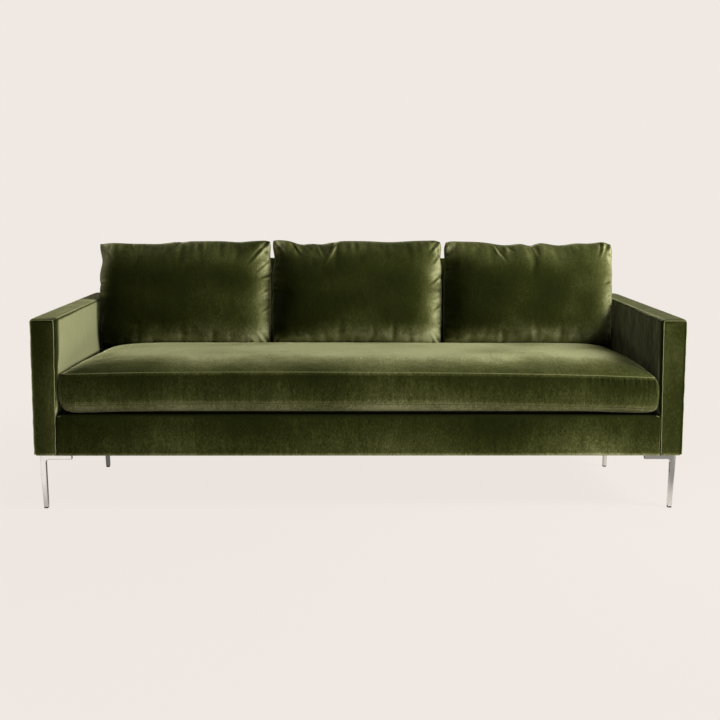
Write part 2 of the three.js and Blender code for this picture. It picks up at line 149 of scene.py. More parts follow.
def arch(distance, reach):
    """A quarter circle that climbs from 0 at the edge to 1 at the given reach from it."""
    return np.sqrt(1 - (1 - np.clip(distance / reach, 0, 1)) ** 2)


def ripple(u, v, waves, seed):
    """A smooth uneven surface of about -1 to 1: a sum of sine waves in random directions and phases,
    with lengths from one to a third of the given pair."""
    draw = np.random.default_rng(seed)
    count = 7
    angle, phase = draw.uniform(0, 2 * pi, (2, count))
    size = draw.uniform(1, 3, count)
    across = np.multiply.outer(u, size * np.cos(angle) * waves[0])
    upward = np.multiply.outer(v, size * np.sin(angle) * waves[1])
    return np.sin(across + upward + phase).sum(axis=-1) / sqrt(count)


def block_grid(xs, ys, zs):
    """The six faces of a block as one closed grid over the given lines. Returns the points as an
    (n, 3) array and the quads, facing outwards, as an (m, 4) array."""
    lines = (xs, ys, zs)
    counts = [len(line) for line in lines]
    faces = []
    for axis in range(3):
        u_axis, v_axis = (axis + 1) % 3, (axis + 2) % 3
        u, v = np.meshgrid(np.arange(counts[u_axis]), np.arange(counts[v_axis]), indexing="ij")
        for level, turned in ((0, True), (counts[axis] - 1, False)):
            place = np.zeros(u.shape + (3,), int)
            place[..., u_axis], place[..., v_axis], place[..., axis] = u, v, level
            quads = np.stack([place[:-1, :-1], place[1:, :-1], place[1:, 1:], place[:-1, 1:]], axis=2)
            quads = quads.reshape(-1, 4, 3)
            faces.append(quads[:, ::-1] if turned else quads)
    corners = np.concatenate(faces)
    keys = (corners[..., 0] * counts[1] + corners[..., 1]) * counts[2] + corners[..., 2]
    unique, inverse = np.unique(keys, return_inverse=True)
    i, rest = np.divmod(unique, counts[1] * counts[2])
    j, k = np.divmod(rest, counts[2])
    return np.stack([xs[i], ys[j], zs[k]], axis=1), inverse.reshape(-1, 4)


def twin_grid(a_lines, c_lines):
    """Two sheets over the same lines that share their outline, as a pillow's panels do. Returns a and
    c at each point, its side (-1 front, 1 rear, 0 on the outline), the quads, and the outline's points
    in order."""
    columns, rows = len(a_lines), len(c_lines)
    front = np.arange(columns * rows).reshape(columns, rows)
    inside = np.zeros((columns, rows), bool)
    inside[1:-1, 1:-1] = True
    rear = front.copy()
    rear[inside] = columns * rows + np.arange(inside.sum())
    a, c = np.meshgrid(a_lines, c_lines, indexing="ij")
    side = np.concatenate([np.where(inside, -1, 0).ravel(), np.ones(inside.sum(), int)])
    corners = [
        np.stack([sheet[:-1, :-1], sheet[1:, :-1], sheet[1:, 1:], sheet[:-1, 1:]], axis=2).reshape(-1, 4)
        for sheet in (front, rear)
    ]
    rim = np.concatenate([front[:-1, 0], front[-1, :-1], front[:0:-1, -1], front[0, :0:-1]])
    quads = np.concatenate([corners[0], corners[1][:, ::-1]])
    return np.concatenate([a.ravel(), a[inside]]), np.concatenate([c.ravel(), c[inside]]), side, quads, rim


def rounded(points, low, high, radius, axes=(0, 1, 2)):
    """Turns a block's edges into arcs in the space of the given axes: each point keeps its depth under
    the block's surface and moves towards its nearest point in the block shrunk by the radius."""
    out = points.copy()
    chosen = list(axes)
    low, high = np.asarray(low, float)[chosen], np.asarray(high, float)[chosen]
    inner = np.clip(points[:, chosen], low + radius, high - radius)
    away = points[:, chosen] - inner
    length = np.linalg.norm(away, axis=1, keepdims=True)
    reach = np.abs(away).max(axis=1, keepdims=True)
    out[:, chosen] = inner + away * reach / np.maximum(length, 1e-9)
    return out


def on_level(points, quads, axis, level):
    """Which quads of a block lie in its face at a level."""
    return np.all(np.abs(points[quads][..., axis] - level) < 1e-6, axis=1)


def without(points, quads, axis, level, low, high, rim):
    """Drops the quads of a block's flat face at a level, apart from a rim of the given width."""
    middle = points[quads].mean(axis=1)
    others = [i for i in range(3) if i != axis]
    inside = np.all((middle[:, others] > low[others] + rim) & (middle[:, others] < high[others] - rim), axis=1)
    return quads[~(on_level(points, quads, axis, level) & inside)]


def rounded_block(low, high, cells, radius, steps, band=None, open_below=False):
    """A block of even cells with all its edges turned into arcs. Returns its points and quads."""
    lines = [banded(low[i], high[i], cells[i], band or radius * BAND, steps) for i in range(3)]
    points, quads = block_grid(*lines)
    if open_below:
        quads = without(points, quads, 2, low[2], low, high, radius)
    return rounded(points, low, high, radius), quads


# Pieces

def placed(name, data):
    """A new object of the scene."""
    made = bpy.data.objects.new(name, data)
    SCENE.collection.objects.link(made)
    return made


def new_piece(name, points, faces, material, body="frame", replaces=(), marks=None, second=None):
    """A smooth mesh object at the origin, riding on its body. Marks are numbers for each point, stored
    under the names that the materials read. Second is another material and which faces have it."""
    mesh = bpy.data.meshes.new(name)
    mesh.from_pydata(points.tolist(), [], [face.tolist() for face in faces])
    mesh.polygons.foreach_set("use_smooth", np.full(len(mesh.polygons), True))
    mesh.materials.append(material)
    if second is not None:
        mesh.materials.append(second[0])
        mesh.polygons.foreach_set("material_index", second[1].astype(np.int32))
    for label, values in (marks or {}).items():
        store = mesh.attributes.new(label, "FLOAT", "POINT")
        store.data.foreach_set("value", np.ascontiguousarray(np.broadcast_to(values, len(points)), np.float32))
    mesh.update()
    piece = placed(name, mesh)
    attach(piece, body)
    if replaces:
        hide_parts(*replaces)
    return piece


def places(mesh):
    """A mesh's points as an (n, 3) array."""
    flat = np.empty(len(mesh.vertices) * 3)
    mesh.vertices.foreach_get("co", flat)
    return flat.reshape(-1, 3)


def put(piece, points):
    piece.data.vertices.foreach_set("co", points.ravel())
    piece.data.update()


def sharpen(piece, rings):
    """Keeps the subdivision from rounding off the edges between neighbouring points of each closed
    ring of points."""
    mesh = piece.data
    flat = np.empty(len(mesh.edges) * 2, int)
    mesh.edges.foreach_get("vertices", flat)
    pairs = np.sort(flat.reshape(-1, 2), axis=1)
    keys = pairs[:, 0] * len(mesh.vertices) + pairs[:, 1]
    wanted = np.concatenate([np.sort(np.stack([ring, np.roll(ring, -1)], axis=1), axis=1) for ring in rings])
    crease = mesh.attributes.new("crease_edge", "FLOAT", "EDGE")
    on_ring = np.isin(keys, wanted[:, 0] * len(mesh.vertices) + wanted[:, 1])
    crease.data.foreach_set("value", on_ring.astype(np.float32))


def subdivide(piece, levels=1):
    finish = piece.modifiers.new("smooth surface", "SUBSURF")
    finish.levels = finish.render_levels = levels


def line_with_wall(piece, thickness=PADDING):
    """Gives an open shell its thickness, inwards."""
    wall = piece.modifiers.new("padding", "SOLIDIFY")
    wall.thickness = thickness
    wall.offset = -1


def corners_of(node):
    low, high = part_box(node)
    return np.array(low), np.array(high)


# Shader groups

def feed(node, inputs):
    """Gives each of a node's inputs, by its name or number, a socket to read or a value."""
    for label, value in inputs.items():
        if isinstance(value, bpy.types.NodeSocket):
            node.id_data.links.new(value, node.inputs[label])
        else:
            node.inputs[label].default_value = value


def add_node(tree, kind, inputs):
    node = tree.nodes.new(kind)
    feed(node, inputs)
    return node


def group_of(name, inputs, outputs):
    """A shader group with float inputs (name: value) and outputs. Returns its tree, the sockets that
    it is given and the node that takes its results."""
    tree = bpy.data.node_groups.new(name, "ShaderNodeTree")
    for label, value in inputs.items():
        socket = tree.interface.new_socket(label, in_out="INPUT", socket_type="NodeSocketFloat")
        socket.default_value = value
    for label in outputs:
        tree.interface.new_socket(label, in_out="OUTPUT", socket_type="NodeSocketFloat")
    return tree, tree.nodes.new("NodeGroupInput").outputs, tree.nodes.new("NodeGroupOutput")


def object_place(tree):
    return tree.nodes.new("ShaderNodeTexCoord").outputs["Object"]


def split(tree, vector):
    return add_node(tree, "ShaderNodeSeparateXYZ", {"Vector": vector}).outputs


def noise(tree, place, scale, detail=2.0, roughness=0.5, stretch=None):
    """A noise texture's value at a place, which stretch multiplies first."""
    if stretch is not None:
        turn = add_node(tree, "ShaderNodeMapping", {"Scale": stretch, "Vector": place})
        place = turn.outputs["Vector"]
    inputs = {"Scale": scale, "Detail": detail, "Roughness": roughness, "Vector": place}
    return add_node(tree, "ShaderNodeTexNoise", inputs).outputs["Fac"]


def calculate(tree, operation, *values):
    """One math node on sockets or numbers."""
    node = tree.nodes.new("ShaderNodeMath")
    node.operation = operation
    feed(node, dict(enumerate(values)))
    return node.outputs[0]


def times(tree, a, b):
    return calculate(tree, "MULTIPLY", a, b)


def centred(tree, value):
    """A noise value about 0."""
    return calculate(tree, "SUBTRACT", value, 0.5)


def total(tree, *terms):
    """A sum of sockets, each times its own factor."""
    result = times(tree, *terms[0])
    for socket, factor in terms[1:]:
        result = calculate(tree, "ADD", result, times(tree, socket, factor))
    return result


def spread(tree, value, low, high, to_low=0.0, to_high=1.0):
    """A value's range from low to high, stretched to another and kept inside it."""
    inputs = {"Value": value, "From Min": low, "From Max": high, "To Min": to_low, "To Max": to_high}
    return add_node(tree, "ShaderNodeMapRange", inputs).outputs["Result"]


def ramp(tree, value, stops):
    """A colour ramp through (place, colour) stops."""
    node = add_node(tree, "ShaderNodeValToRGB", {"Fac": value})
    elements = node.color_ramp.elements
    while len(elements) < len(stops):
        elements.new(0.5)
    for element, (place, colour) in zip(elements, stops):
        element.position = place
        element.color = (*colour, 1)
    return node.outputs["Color"]


def pile_group():
    """Velvet pile. The first result says how light the velvet's ground is at each place: the given mark, which
    holds painted light and shade, with broad brushed patches, the strokes inside them, flecks and single tufts,
    and the gathers, painted lighter on their ridges. It is also painted lighter where the face turns to the
    right, towards the lamps, and where it faces downwards, towards the light from below, and darker where it
    turns left and where it faces up: painted light and shade. Height, in metres, tilts the shading with the
    patches and strokes, and with gathers that stand across a seam."""
    inputs = dict.fromkeys(("Nap_and_painted_light", "Along", "Gather", "Brush"), 0.0)
    inputs.update({"Patches": 1.0, "Painted Side Light": 1.1, "Painted Under Light": 0.6})
    tree, given, made = group_of("velvet pile", inputs, ("Lie And Painted Light", "Height"))
    space = tree.nodes.new("ShaderNodeTexCoord").outputs
    place, facing = space["Object"], split(tree, space["Normal"])
    broad = noise(tree, place, 5.0, 3.0, 0.55, (1.0, 1.0, 1.3))
    strokes = noise(tree, place, 30.0, 3.0, 0.62, (1.0, 0.75, 0.36))
    brush = noise(tree, place, 85.0, 2.0, 0.6, (1.0, 1.0, 0.26))
    flecks = noise(tree, place, 190.0, 3.0, 0.7, (1.0, 0.8, 0.55))
    tufts = noise(tree, place, 420.0, 2.0, 0.6)
    wave = tree.nodes.new("ShaderNodeTexNoise")
    wave.noise_dimensions = "1D"
    feed(wave, {"Scale": 70.0, "Detail": 1.0, "W": given["Along"]})
    gathers = times(tree, centred(tree, wave.outputs["Fac"]), given["Gather"])
    grains = ((broad, 0.75), (strokes, 0.42), (flecks, 1.35), (tufts, 1.05))
    brushed = total(tree, *((centred(tree, grain), factor) for grain, factor in grains))
    brushed = times(tree, brushed, given["Patches"])
    stroked = times(tree, centred(tree, brush), given["Brush"])
    # Painted light and shade: faces turned to the right are painted lighter and those turned left darker, faces
    # turned down lighter and those turned up darker.
    turned = times(tree, facing["X"], calculate(tree, "ABSOLUTE", facing["X"]))
    painted_side_light = times(tree, turned, given["Painted Side Light"])
    down = times(tree, facing["Z"], given["Painted Under Light"])
    lie_and_painted_light = ((brushed, 1.0), (stroked, 2.0), (gathers, 0.8), (given["Nap_and_painted_light"], 1.0), (painted_side_light, 1.0), (down, -1.0))
    uneven = total(tree, (broad, 0.012), (strokes, 0.0022), (flecks, 0.0006), (tufts, 0.00016))
    height = ((times(tree, uneven, given["Patches"]), 1.0), (stroked, 0.0012), (gathers, 0.006))
    feed(made, {"Lie And Painted Light": total(tree, *lie_and_painted_light), "Height": total(tree, *height)})
    return tree


def finish_group():
    """Metal finish: fine scratches along one direction and soft smudges."""
    tree, given, made = group_of("metal finish", {"Smudge": 1.0}, ("Wear", "Height"))
    place = object_place(tree)
    scratches = noise(tree, place, 60.0, 3.0, 0.6, (8.0, 8.0, 0.6))
    smudges = noise(tree, place, 14.0, 3.0, 0.6)
    feed(made, {"Wear": times(tree, smudges, given["Smudge"]), "Height": scratches})
    return tree


def weave_group():
    """A plain woven or felted cloth: crossed threads and a little lint."""
    tree, given, made = group_of("cloth weave", {"Threads": 900.0}, ("Lint", "Height"))
    place = object_place(tree)
    axes = split(tree, place)
    waves = [calculate(tree, "SINE", times(tree, axes[axis], given["Threads"])) for axis in "XY"]
    feed(made, {"Height": times(tree, *waves), "Lint": noise(tree, place, 45.0, 4.0, 0.7)})
    return tree


GROUPS = {"pile": pile_group(), "finish": finish_group(), "weave": weave_group()}


# Materials

def new_material(name, finish, *values):
    """A material whose shader takes what a finish makes of its tree and the values."""
    material = bpy.data.materials.new(name)
    material.use_nodes = True
    tree = material.node_tree
    feed(tree.nodes["Principled BSDF"], finish(tree, *values))
    return material


def place_group(tree, name, inputs):
    node = tree.nodes.new("ShaderNodeGroup")
    node.node_tree = GROUPS[name]
    feed(node, inputs)
    return node.outputs


def relief(tree, height, distance, strength=1.0):
    """The surface's normals, tilted by a height."""
    inputs = {"Height": height, "Distance": distance, "Strength": strength}
    return add_node(tree, "ShaderNodeBump", inputs).outputs["Normal"]


def velvet(tree, patches=1.0, painted_lift=0.0, sheen=0.4):
    """Olive velvet: a dark ground that lightens where the marks say, and a sheen on the faces that turn away.
    The pile reads the marks that the pieces carry, which hold the pile's own tone and painted light and shade.
    A lift above 0 paints the whole velvet lighter, a painted highlight, and one below 0 darker, painted shade."""
    inputs = {"Patches": patches}
    # The first mark read here holds the pile's own tone together with painted light and shade.
    for label in ("Nap_and_painted_light", "Along", "Gather", "Brush"):
        reader = tree.nodes.new("ShaderNodeAttribute")
        reader.attribute_name = label.lower()
        inputs[label] = reader.outputs["Fac"]
    pile = place_group(tree, "pile", inputs)
    return {
        "Base Color": ramp(tree, spread(tree, pile["Lie And Painted Light"], -0.8 - painted_lift, 1.3 - painted_lift), PILE_COLOURS),
        "Roughness": spread(tree, pile["Lie And Painted Light"], -1.0, 1.5, 0.95, 0.75),
        "Specular IOR Level": 0.04,
        "Sheen Weight": sheen,
        "Sheen Roughness": 0.3,
        "Sheen Tint": (*SHEEN_TINT, 1),
        "Normal": relief(tree, pile["Height"], 1.0),
    }


def metal(tree, colour, roughness, smudge, depth):
    finish = place_group(tree, "finish", {"Smudge": smudge})
    dull = tuple(c * 0.86 for c in colour)
    return {
        "Base Color": ramp(tree, finish["Wear"], ((0.2, colour), (0.9, dull))),
        "Roughness": spread(tree, finish["Wear"], 0.2, 0.9, roughness, roughness + 0.12),
        "Metallic": 1.0,
        "Normal": relief(tree, finish["Height"], depth, 0.5),
    }


def cloth(tree, dark, light, threads):
    weave = place_group(tree, "weave", {"Threads": threads})
    return {
        "Base Color": ramp(tree, weave["Lint"], ((0.3, dark), (0.8, light))),
        "Roughness": spread(tree, weave["Lint"], 0.2, 0.8, 0.85, 0.92),
        "Specular IOR Level": 0.2,
        "Normal": relief(tree, weave["Height"], 0.0003),
    }


def timber(tree):
    """Pale kiln-dried timber: long grain, darker late wood and small flecks."""
    place = object_place(tree)
    rings = noise(tree, place, 9.0, 4.0, 0.65, (0.5, 0.9, 5.0))
    flecks = noise(tree, place, 160.0, 3.0, 0.7, (0.08, 0.3, 1.0))
    stops = ((0.3, (0.62, 0.42, 0.23)), (0.55, (0.52, 0.33, 0.17)), (0.75, (0.36, 0.21, 0.10)))
    return {
        "Base Color": ramp(tree, total(tree, (rings, 0.75), (flecks, 0.25)), stops),
        "Roughness": spread(tree, flecks, 0.3, 0.7, 0.55, 0.75),
        "Normal": relief(tree, flecks, 0.0004),
    }


def rubber(tree):
    scuffs = noise(tree, object_place(tree), 240.0, 4.0, 0.7)
    stops = ((0.35, (0.008, 0.008, 0.008)), (0.8, (0.03, 0.029, 0.027)))
    return {
        "Base Color": ramp(tree, scuffs, stops),
        "Roughness": spread(tree, scuffs, 0.2, 0.8, 0.6, 0.85),
        "Normal": relief(tree, scuffs, 0.0002),
    }


VELVET = new_material("olive velvet", velvet)
SOFT_VELVET = new_material("olive velvet on the back cushions", velvet, 0.7)
SMOOTH_VELVET = new_material("olive velvet stretched smooth", velvet, 0.7, 0.0, 0.35)
FLAT_VELVET = new_material("olive velvet brushed flat", velvet, 0.7, 0.0, 0.45)
# The velvet under the seat is painted dark, painted shade.
PAINTED_SHADE_VELVET = new_material("olive velvet painted dark in shade", velvet, 0.45, -1.2, 0.0)
# The seams' and the cushions' edge velvet is painted lighter, a painted highlight along them.
SEAM_HIGHLIGHT_VELVET = new_material("velvet seam painted light", velvet, 0.2, 0.95)
EDGE_HIGHLIGHT_VELVET = new_material("velvet cushion edge painted light", velvet, 0.2, 0.45)
STEEL = new_material("polished steel", metal, (0.78, 0.785, 0.775), 0.15, 1.0, 0.0001)
SPRING_STEEL = new_material("spring steel", metal, (0.22, 0.22, 0.23), 0.38, 1.2, 0.0002)
RUBBER = new_material("black rubber", rubber)
TIMBER = new_material("frame timber", timber)
DECK_CLOTH = new_material("seat deck cloth", cloth, (0.014, 0.016, 0.006), (0.035, 0.038, 0.018), 1400)
DUST_CLOTH = new_material("black dust cloth", cloth, (0.008, 0.008, 0.008), (0.022, 0.021, 0.020), 2600)


# Seams

def carried(path, outward, radius, sides, closed):
    """A round section carried along a path: at each point the section lies in the plane of the outward
    direction and of the one square to it and to the path."""
    ahead = np.roll(path, -1, axis=0) - np.roll(path, 1, axis=0)
    if not closed:
        ahead[0], ahead[-1] = path[1] - path[0], path[-1] - path[-2]
    ahead /= np.linalg.norm(ahead, axis=1, keepdims=True)
    out = np.broadcast_to(np.asarray(outward, float), path.shape)
    out = out - ahead * np.sum(out * ahead, axis=1, keepdims=True)
    out = out / np.linalg.norm(out, axis=1, keepdims=True)
    across = np.cross(ahead, out)
    angle = np.arange(sides) * 2 * pi / sides
    ring = np.cos(angle)[None, :, None] * out[:, None] + np.sin(angle)[None, :, None] * across[:, None]
    points = (path[:, None] + radius * ring).reshape(-1, 3)
    rows = np.arange(len(path) if closed else len(path) - 1)[:, None]
    k = np.arange(sides)
    here, there = rows * sides, ((rows + 1) % len(path)) * sides
    quads = np.stack([here + k, here + (k + 1) % sides, there + (k + 1) % sides, there + k], axis=2)
    return points, quads.reshape(-1, 4)


def seam(name, path, outward, body, radius=0.0012, closed=False, material=SEAM_HIGHLIGHT_VELVET):
    """A sewn seam that stands a little out of the velvet, painted lighter: a painted highlight along it."""
    points, quads = carried(np.asarray(path, float), outward, radius, 8, closed)
    return new_piece(name, points, quads, material, body)


def along(*stops, spacing=0.012):
    """Points on the straight lines between stops, about the given distance apart."""
    stops = np.asarray(stops, float)
    parts = [
        np.linspace(start, end, max(2, int(np.linalg.norm(end - start) / spacing)), endpoint=False)
        for start, end in zip(stops[:-1], stops[1:])
    ]
    return np.concatenate(parts + [stops[-1:]])


# Upholstered frame

def towards_inner(share, side):
    """Each point's share of the way from an arm's outer face to its inner one."""
    return share[:, 0] if side < 0 else 1 - share[:, 0]


def tapered(points, low, high, side):
    """How far an arm's inner face draws outwards at each point: the taper times the depth below the
    arm's top, fading out towards its outer face."""
    share = (points - low) / (high - low)
    return side * ARM_TAPER * eased(towards_inner(share, side), 0.3, 1.0) * (1 - share[:, 2]).clip(0, 1)


def arm_crown(y, low, high):
    """How far an arm's top stands up along its middle: two quarter circles, at its front and rear."""
    return ARM_CROWN * arch(y - low[1], 0.045) * arch(high[1] - y, 0.06)


def lower_edge_highlight(z, low):
    """How much lighter a piece's lower edge is painted where the velvet turns round it: a painted highlight."""
    return 0.7 * (1 - eased(z - low[2], 0.003, 0.012))


def arm(hand, side):
    """A block whose edges are rounded, tightly round its front panel and more along its top, and whose top
    rises to the rear: each point is lifted by the rise times its share of the depth and of the height. The
    inner face rolls out behind the seam of the front panel, by a quarter circle that fades to the rear, and the
    outer face swells a little. The velvet is painted dark where the seat hides it, a painted shadow, and darker
    just under the top's edge and behind the front seam, painted shade."""
    node = f"arm_cover_{hand}"
    low, high = corners_of(node)
    front_high = high - np.array([0, 0, ARM_RISE])
    lines = [edge_lines(low[i], front_high[i], (4, 60, 36)[i], ARM_LINES) for i in range(3)]
    points, quads = block_grid(*lines)
    quads = without(points, quads, 2, low[2], low, high, ARM_EDGE)
    share = (points - low) / (front_high - low)
    depth, level = share[:, 1], share[:, 2]
    top = on_level(points, quads, 2, front_high[2])
    points = rounded(points, low, front_high, ARM_FRONT_EDGE)
    points = rounded(points, low, front_high, ARM_EDGE, (0, 2))
    x, y, z = points.T
    from_outer = towards_inner(share, side)
    inner = eased(from_outer, 0.3, 1.0)
    behind_front, below_top = y - low[1], front_high[2] - z
    beside_seat = eased(z, 0.300, 0.340) * (1 - eased(z, 0.470, 0.520)) * eased(behind_front, 0.015, 0.040)
    roll = ARM_ROLL * arch(behind_front - 0.003, 0.020) * (1 - eased(depth, 0.15, 0.6))
    roll *= arch(below_top, 0.015) * inner * (1 - 0.7 * beside_seat) * eased(z, 0.316, 0.340)
    uneven = 0.0003 * ripple(depth, level, (6, 2), 11 + side)
    uneven *= arch(below_top, 0.03) * arch(behind_front, 0.03)
    x -= side * (roll + uneven * (2 * inner - 1))
    x += tapered(points, low, front_high, side)
    z += ARM_RISE * depth * level + arm_crown(y, low, high) * eased(level, 0.9, 1.0)

    # Painted light and shade for this arm's faces.
    inner_painted_light, outer_painted_light, top_painted_light, top_rear_painted_light, panel_painted_light, panel_foot_painted_light = ARM_PAINTED_LIGHT[hand]
    # Painted shade on the inner face: a band just under the top's edge, a strip behind the front seam, and a
    # painted shadow where the seat hides it.
    painted_top_edge_shade = (1 - eased(below_top, 0.006, 0.012)) * eased(below_top, 0.001, 0.005)
    shaded = (behind_front > 0.0015) * (1 - eased(behind_front, 0.018, 0.045)) * eased(level, 0.25, 0.6)
    height = low[2] + level * (front_high[2] - low[2])
    painted_seat_shadow_from = (0.014, 0.018) if side < 0 else (0.003, 0.008)
    painted_seat_shadow = (1 - eased(height, 0.440, 0.454)) * eased(behind_front, *painted_seat_shadow_from)
    painted_seat_shadow = np.maximum(painted_seat_shadow, (1 - eased(height, 0.310, 0.325)) * (behind_front > 0.0015))
    painted_seat_shadow *= 1 - eased(depth, 0.90, 0.96)
    # The velvet's mark: random tone, the painted light and shade of the table above, the painted shade on the
    # inner face, and the painted highlight along the lower edge.
    marks = {
        "nap_and_painted_light": 0.10 * ripple(depth * 3, level * 2, (2, 2), 17 + side)
        + inner * (inner_painted_light - 0.7 * painted_top_edge_shade - 1.7 * shaded - 2.4 * painted_seat_shadow)
        + outer_painted_light * (1 - eased(from_outer, 0.0, 0.15))
        + (top_painted_light + top_rear_painted_light * eased(depth, 0.55, 0.75)) * (below_top < 0.004)
        + (panel_painted_light + (panel_foot_painted_light - panel_painted_light) * (1 - level)) * (behind_front < 0.002)
        + lower_edge_highlight(z, low),
        "along": y,
        "gather": 0.15 * (1 - eased(below_top, 0.0, 0.045)) * inner,
        "brush": 0.25 * inner,
    }
    second = (FLAT_VELVET, top)
    piece = new_piece(f"arm_{hand}", points, quads, SMOOTH_VELVET, replaces=(node,), marks=marks, second=second)
    line_with_wall(piece)


def arm_seams(hand, side):
    """The seam round an arm's front panel, which wavers a little, and the two along its top edges."""
    low, high = corners_of(f"arm_cover_{hand}")
    front_top = high[2] - ARM_RISE
    tuck, corner, drop = ARM_FRONT_EDGE * ARC_DEPTH, ARM_EDGE * 0.8, ARM_EDGE * ARC_DEPTH
    inner, outer = (high[0] - tuck, low[0] + tuck) if side < 0 else (low[0] + tuck, high[0] - tuck)
    y, foot, top = low[1] + tuck, low[2] + ARM_FRONT_EDGE, front_top - tuck
    turn = np.linspace(0, pi / 2, 6)
    first, last = (
        np.stack([x + bend * (1 - np.cos(turn)), np.full(6, y), top - corner + corner * np.sin(turn)], axis=1)
        for x, bend in ((inner, side * corner), (outer, -side * corner))
    )
    last = last[::-1]
    up = along((inner, y, foot), first[0], spacing=0.007)[:-1]
    across = along(first[-1], last[0], spacing=0.007)[1:-1]
    down = along(last[-1], (outer, y, foot), spacing=0.007)[1:]
    path = np.concatenate([up, first, across, last, down])
    path[:, 0] += (0.00045 - 0.00015 * side) * ripple(path[:, 2], path[:, 0], (60, 8), 23 + side)
    path[:, 0] += tapered(path, low, np.array([high[0], high[1], front_top]), side)
    seam(f"arm_front_seam_{hand}", path, (0, -1, 0), "frame", 0.0014)
    for label, x in (("inner", inner + side * (drop - tuck)), ("outer", outer - side * (drop - tuck))):
        path = along((x, y, front_top - drop), (x, high[1] - tuck, high[2] - drop), spacing=0.007)
        path[:, 0] += 0.0004 * ripple(path[:, 1], path[:, 2], (50, 8), 29 + side)
        path[:, 2] += arm_crown(path[:, 1], low, high)
        seam(f"arm_top_seam_{label}_{hand}", path, (0, 0, 1), "frame")


def front_rail():
    """A panel between the arms: a block with its top corners rounded as seen from the front, its top
    front edge rounded as seen from the side, and a face that swells a little at the middle."""
    low, high = corners_of("front_rail_cover")
    low[0] -= RAIL_END
    high += np.array([RAIL_END, 0, -RAIL_DROP])
    lines = [
        banded(low[0], high[0], 150, RAIL_CORNER * BAND, 5),
        banded(low[1], high[1], 4, RAIL_EDGE * BAND, 4),
        banded(low[2], high[2], 9, RAIL_CORNER * BAND, 5),
    ]
    points, quads = block_grid(*lines)
    quads = without(points, quads, 2, low[2], low, high, 0.004)
    quads = without(points, quads, 1, high[1], low, high, 0.004)
    share = (points - low) / (high - low)
    # The rail's top behind its front edge, in the seat's shade, takes the velvet painted dark: painted shade.
    behind_edge = points[quads][..., 1].mean(axis=1) > low[1] + RAIL_EDGE * 0.3
    second = (PAINTED_SHADE_VELVET, on_level(points, quads, 2, high[2]) & behind_edge)
    points = rounded(points, low - np.array([0, 0, 1]), high, RAIL_CORNER, (0, 2))
    points = rounded(points, low - np.array([0, 0, 1]), high + np.array([0, 1, 0]), RAIL_EDGE, (1, 2))
    x, y, z = points.T
    edge = np.minimum(arch(z - low[2], 0.03), arch(high[2] - z, 0.03))
    swell = 0.0018 * edge * (1 + 0.5 * ripple(x, z, (8, 6), 43))
    y += (1 - eased(share[:, 1], 0.0, 0.5)) * (0.0022 - swell)
    # Random tone, painted lighter towards the right and darker towards the top, painted light from the lamps on
    # the right and from below, and the painted highlight along the lower edge.
    marks = {
        "nap_and_painted_light": 0.24 * ripple(x, z, (5, 6), 47)
        + 0.10 * x / high[0]
        - 0.40 * eased(share[:, 2], 0.1, 0.9)
        + lower_edge_highlight(z, low),
        "along": x,
        "gather": 0.1 * (1 - eased(high[2] - z, 0.0, 0.03)),
        "brush": 0.08 + 0.14 * (1 - share[:, 2]) ** 2,
    }
    node = "front_rail_cover"
    piece = new_piece("front_rail", points, quads, VELVET, replaces=(node,), marks=marks, second=second)
    line_with_wall(piece)
    turn, radius, y = np.linspace(0, pi / 2, 7), RAIL_CORNER - SEAM_INSET, low[1] + 0.0035
    for hand, side in HANDS:
        x = side * (high[0] - SEAM_INSET)
        corner_x = side * (high[0] - RAIL_CORNER + radius * np.cos(turn))
        corner = np.stack([corner_x, np.full(7, y), high[2] - RAIL_CORNER + radius * np.sin(turn)], axis=1)
        rise = along((x, y, low[2] + 0.003), (x, y, high[2] - RAIL_CORNER))
        seam(f"rail_end_seam_{hand}", np.concatenate([rise[:-1], corner]), (0, -1, 0), "frame")


def back_face(z):
    """How far back the leaning front of the sofa's back lies at a height."""
    high = corners_of("back_cover")[1]
    return high[1] - BACK_TOP_THICKNESS - (high[2] - z) * tan(BACK_RAKE)


def back():
    """The padded back above the deck, a rounded block whose front face leans, and the outside back, a
    thin panel that covers it from behind down to the lower edge."""
    low, high = corners_of("back_cover")
    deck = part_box("seat_deck")[1][2] + 0.0003
    pad_low = np.array([low[0], high[1] - BACK_TOP_THICKNESS, deck])
    pad_high = high - np.array([0, BACK_PANEL, 0])
    points, quads = rounded_block(pad_low, pad_high, (110, 6, 26), BACK_EDGE, 4, open_below=True)
    x, y, z = points.T
    y -= (pad_high[1] - y) / (pad_high[1] - pad_low[1]) * (high[2] - z) * tan(BACK_RAKE)
    marks = {
        "nap_and_painted_light": 0.12 * ripple(x * 3, z * 4, (2, 2), 53),
        "along": x,
        "gather": 0.12 * (1 - eased(high[2] - z, 0.0, 0.04)),
    }
    line_with_wall(new_piece("back_pad", points, quads, VELVET, replaces=("back_cover",), marks=marks))

    inset = np.array([0.004, 0, 0])
    skin_low = np.array([low[0], high[1] - BACK_PANEL, low[2]]) + inset
    skin_high = high - inset - np.array([0, 0, 0.004])
    points, quads = rounded_block(skin_low, skin_high, (100, 1, 40), 0.0038, 3)
    x, y, z = points.T
    y -= eased(y, skin_low[1], skin_high[1]) * 0.0012 * (1 + ripple(x, z, (5, 5), 59)) / 2
    marks = {"nap_and_painted_light": 0.2 * ripple(x, z, (5, 6), 61), "along": x}
    new_piece("outside_back", points, quads, VELVET, marks=marks)
    y, foot, top = high[1] - SEAM_INSET, skin_low[2] + 0.004, skin_high[2] - 0.001
    left, right = skin_low[0] + 0.001, skin_high[0] - 0.001
    path = along((left, y, foot), (left, y, top), (right, y, top), (right, y, foot))
    seam("outside_back_seam", path, (0, 1, 0), "frame")


# Cushions

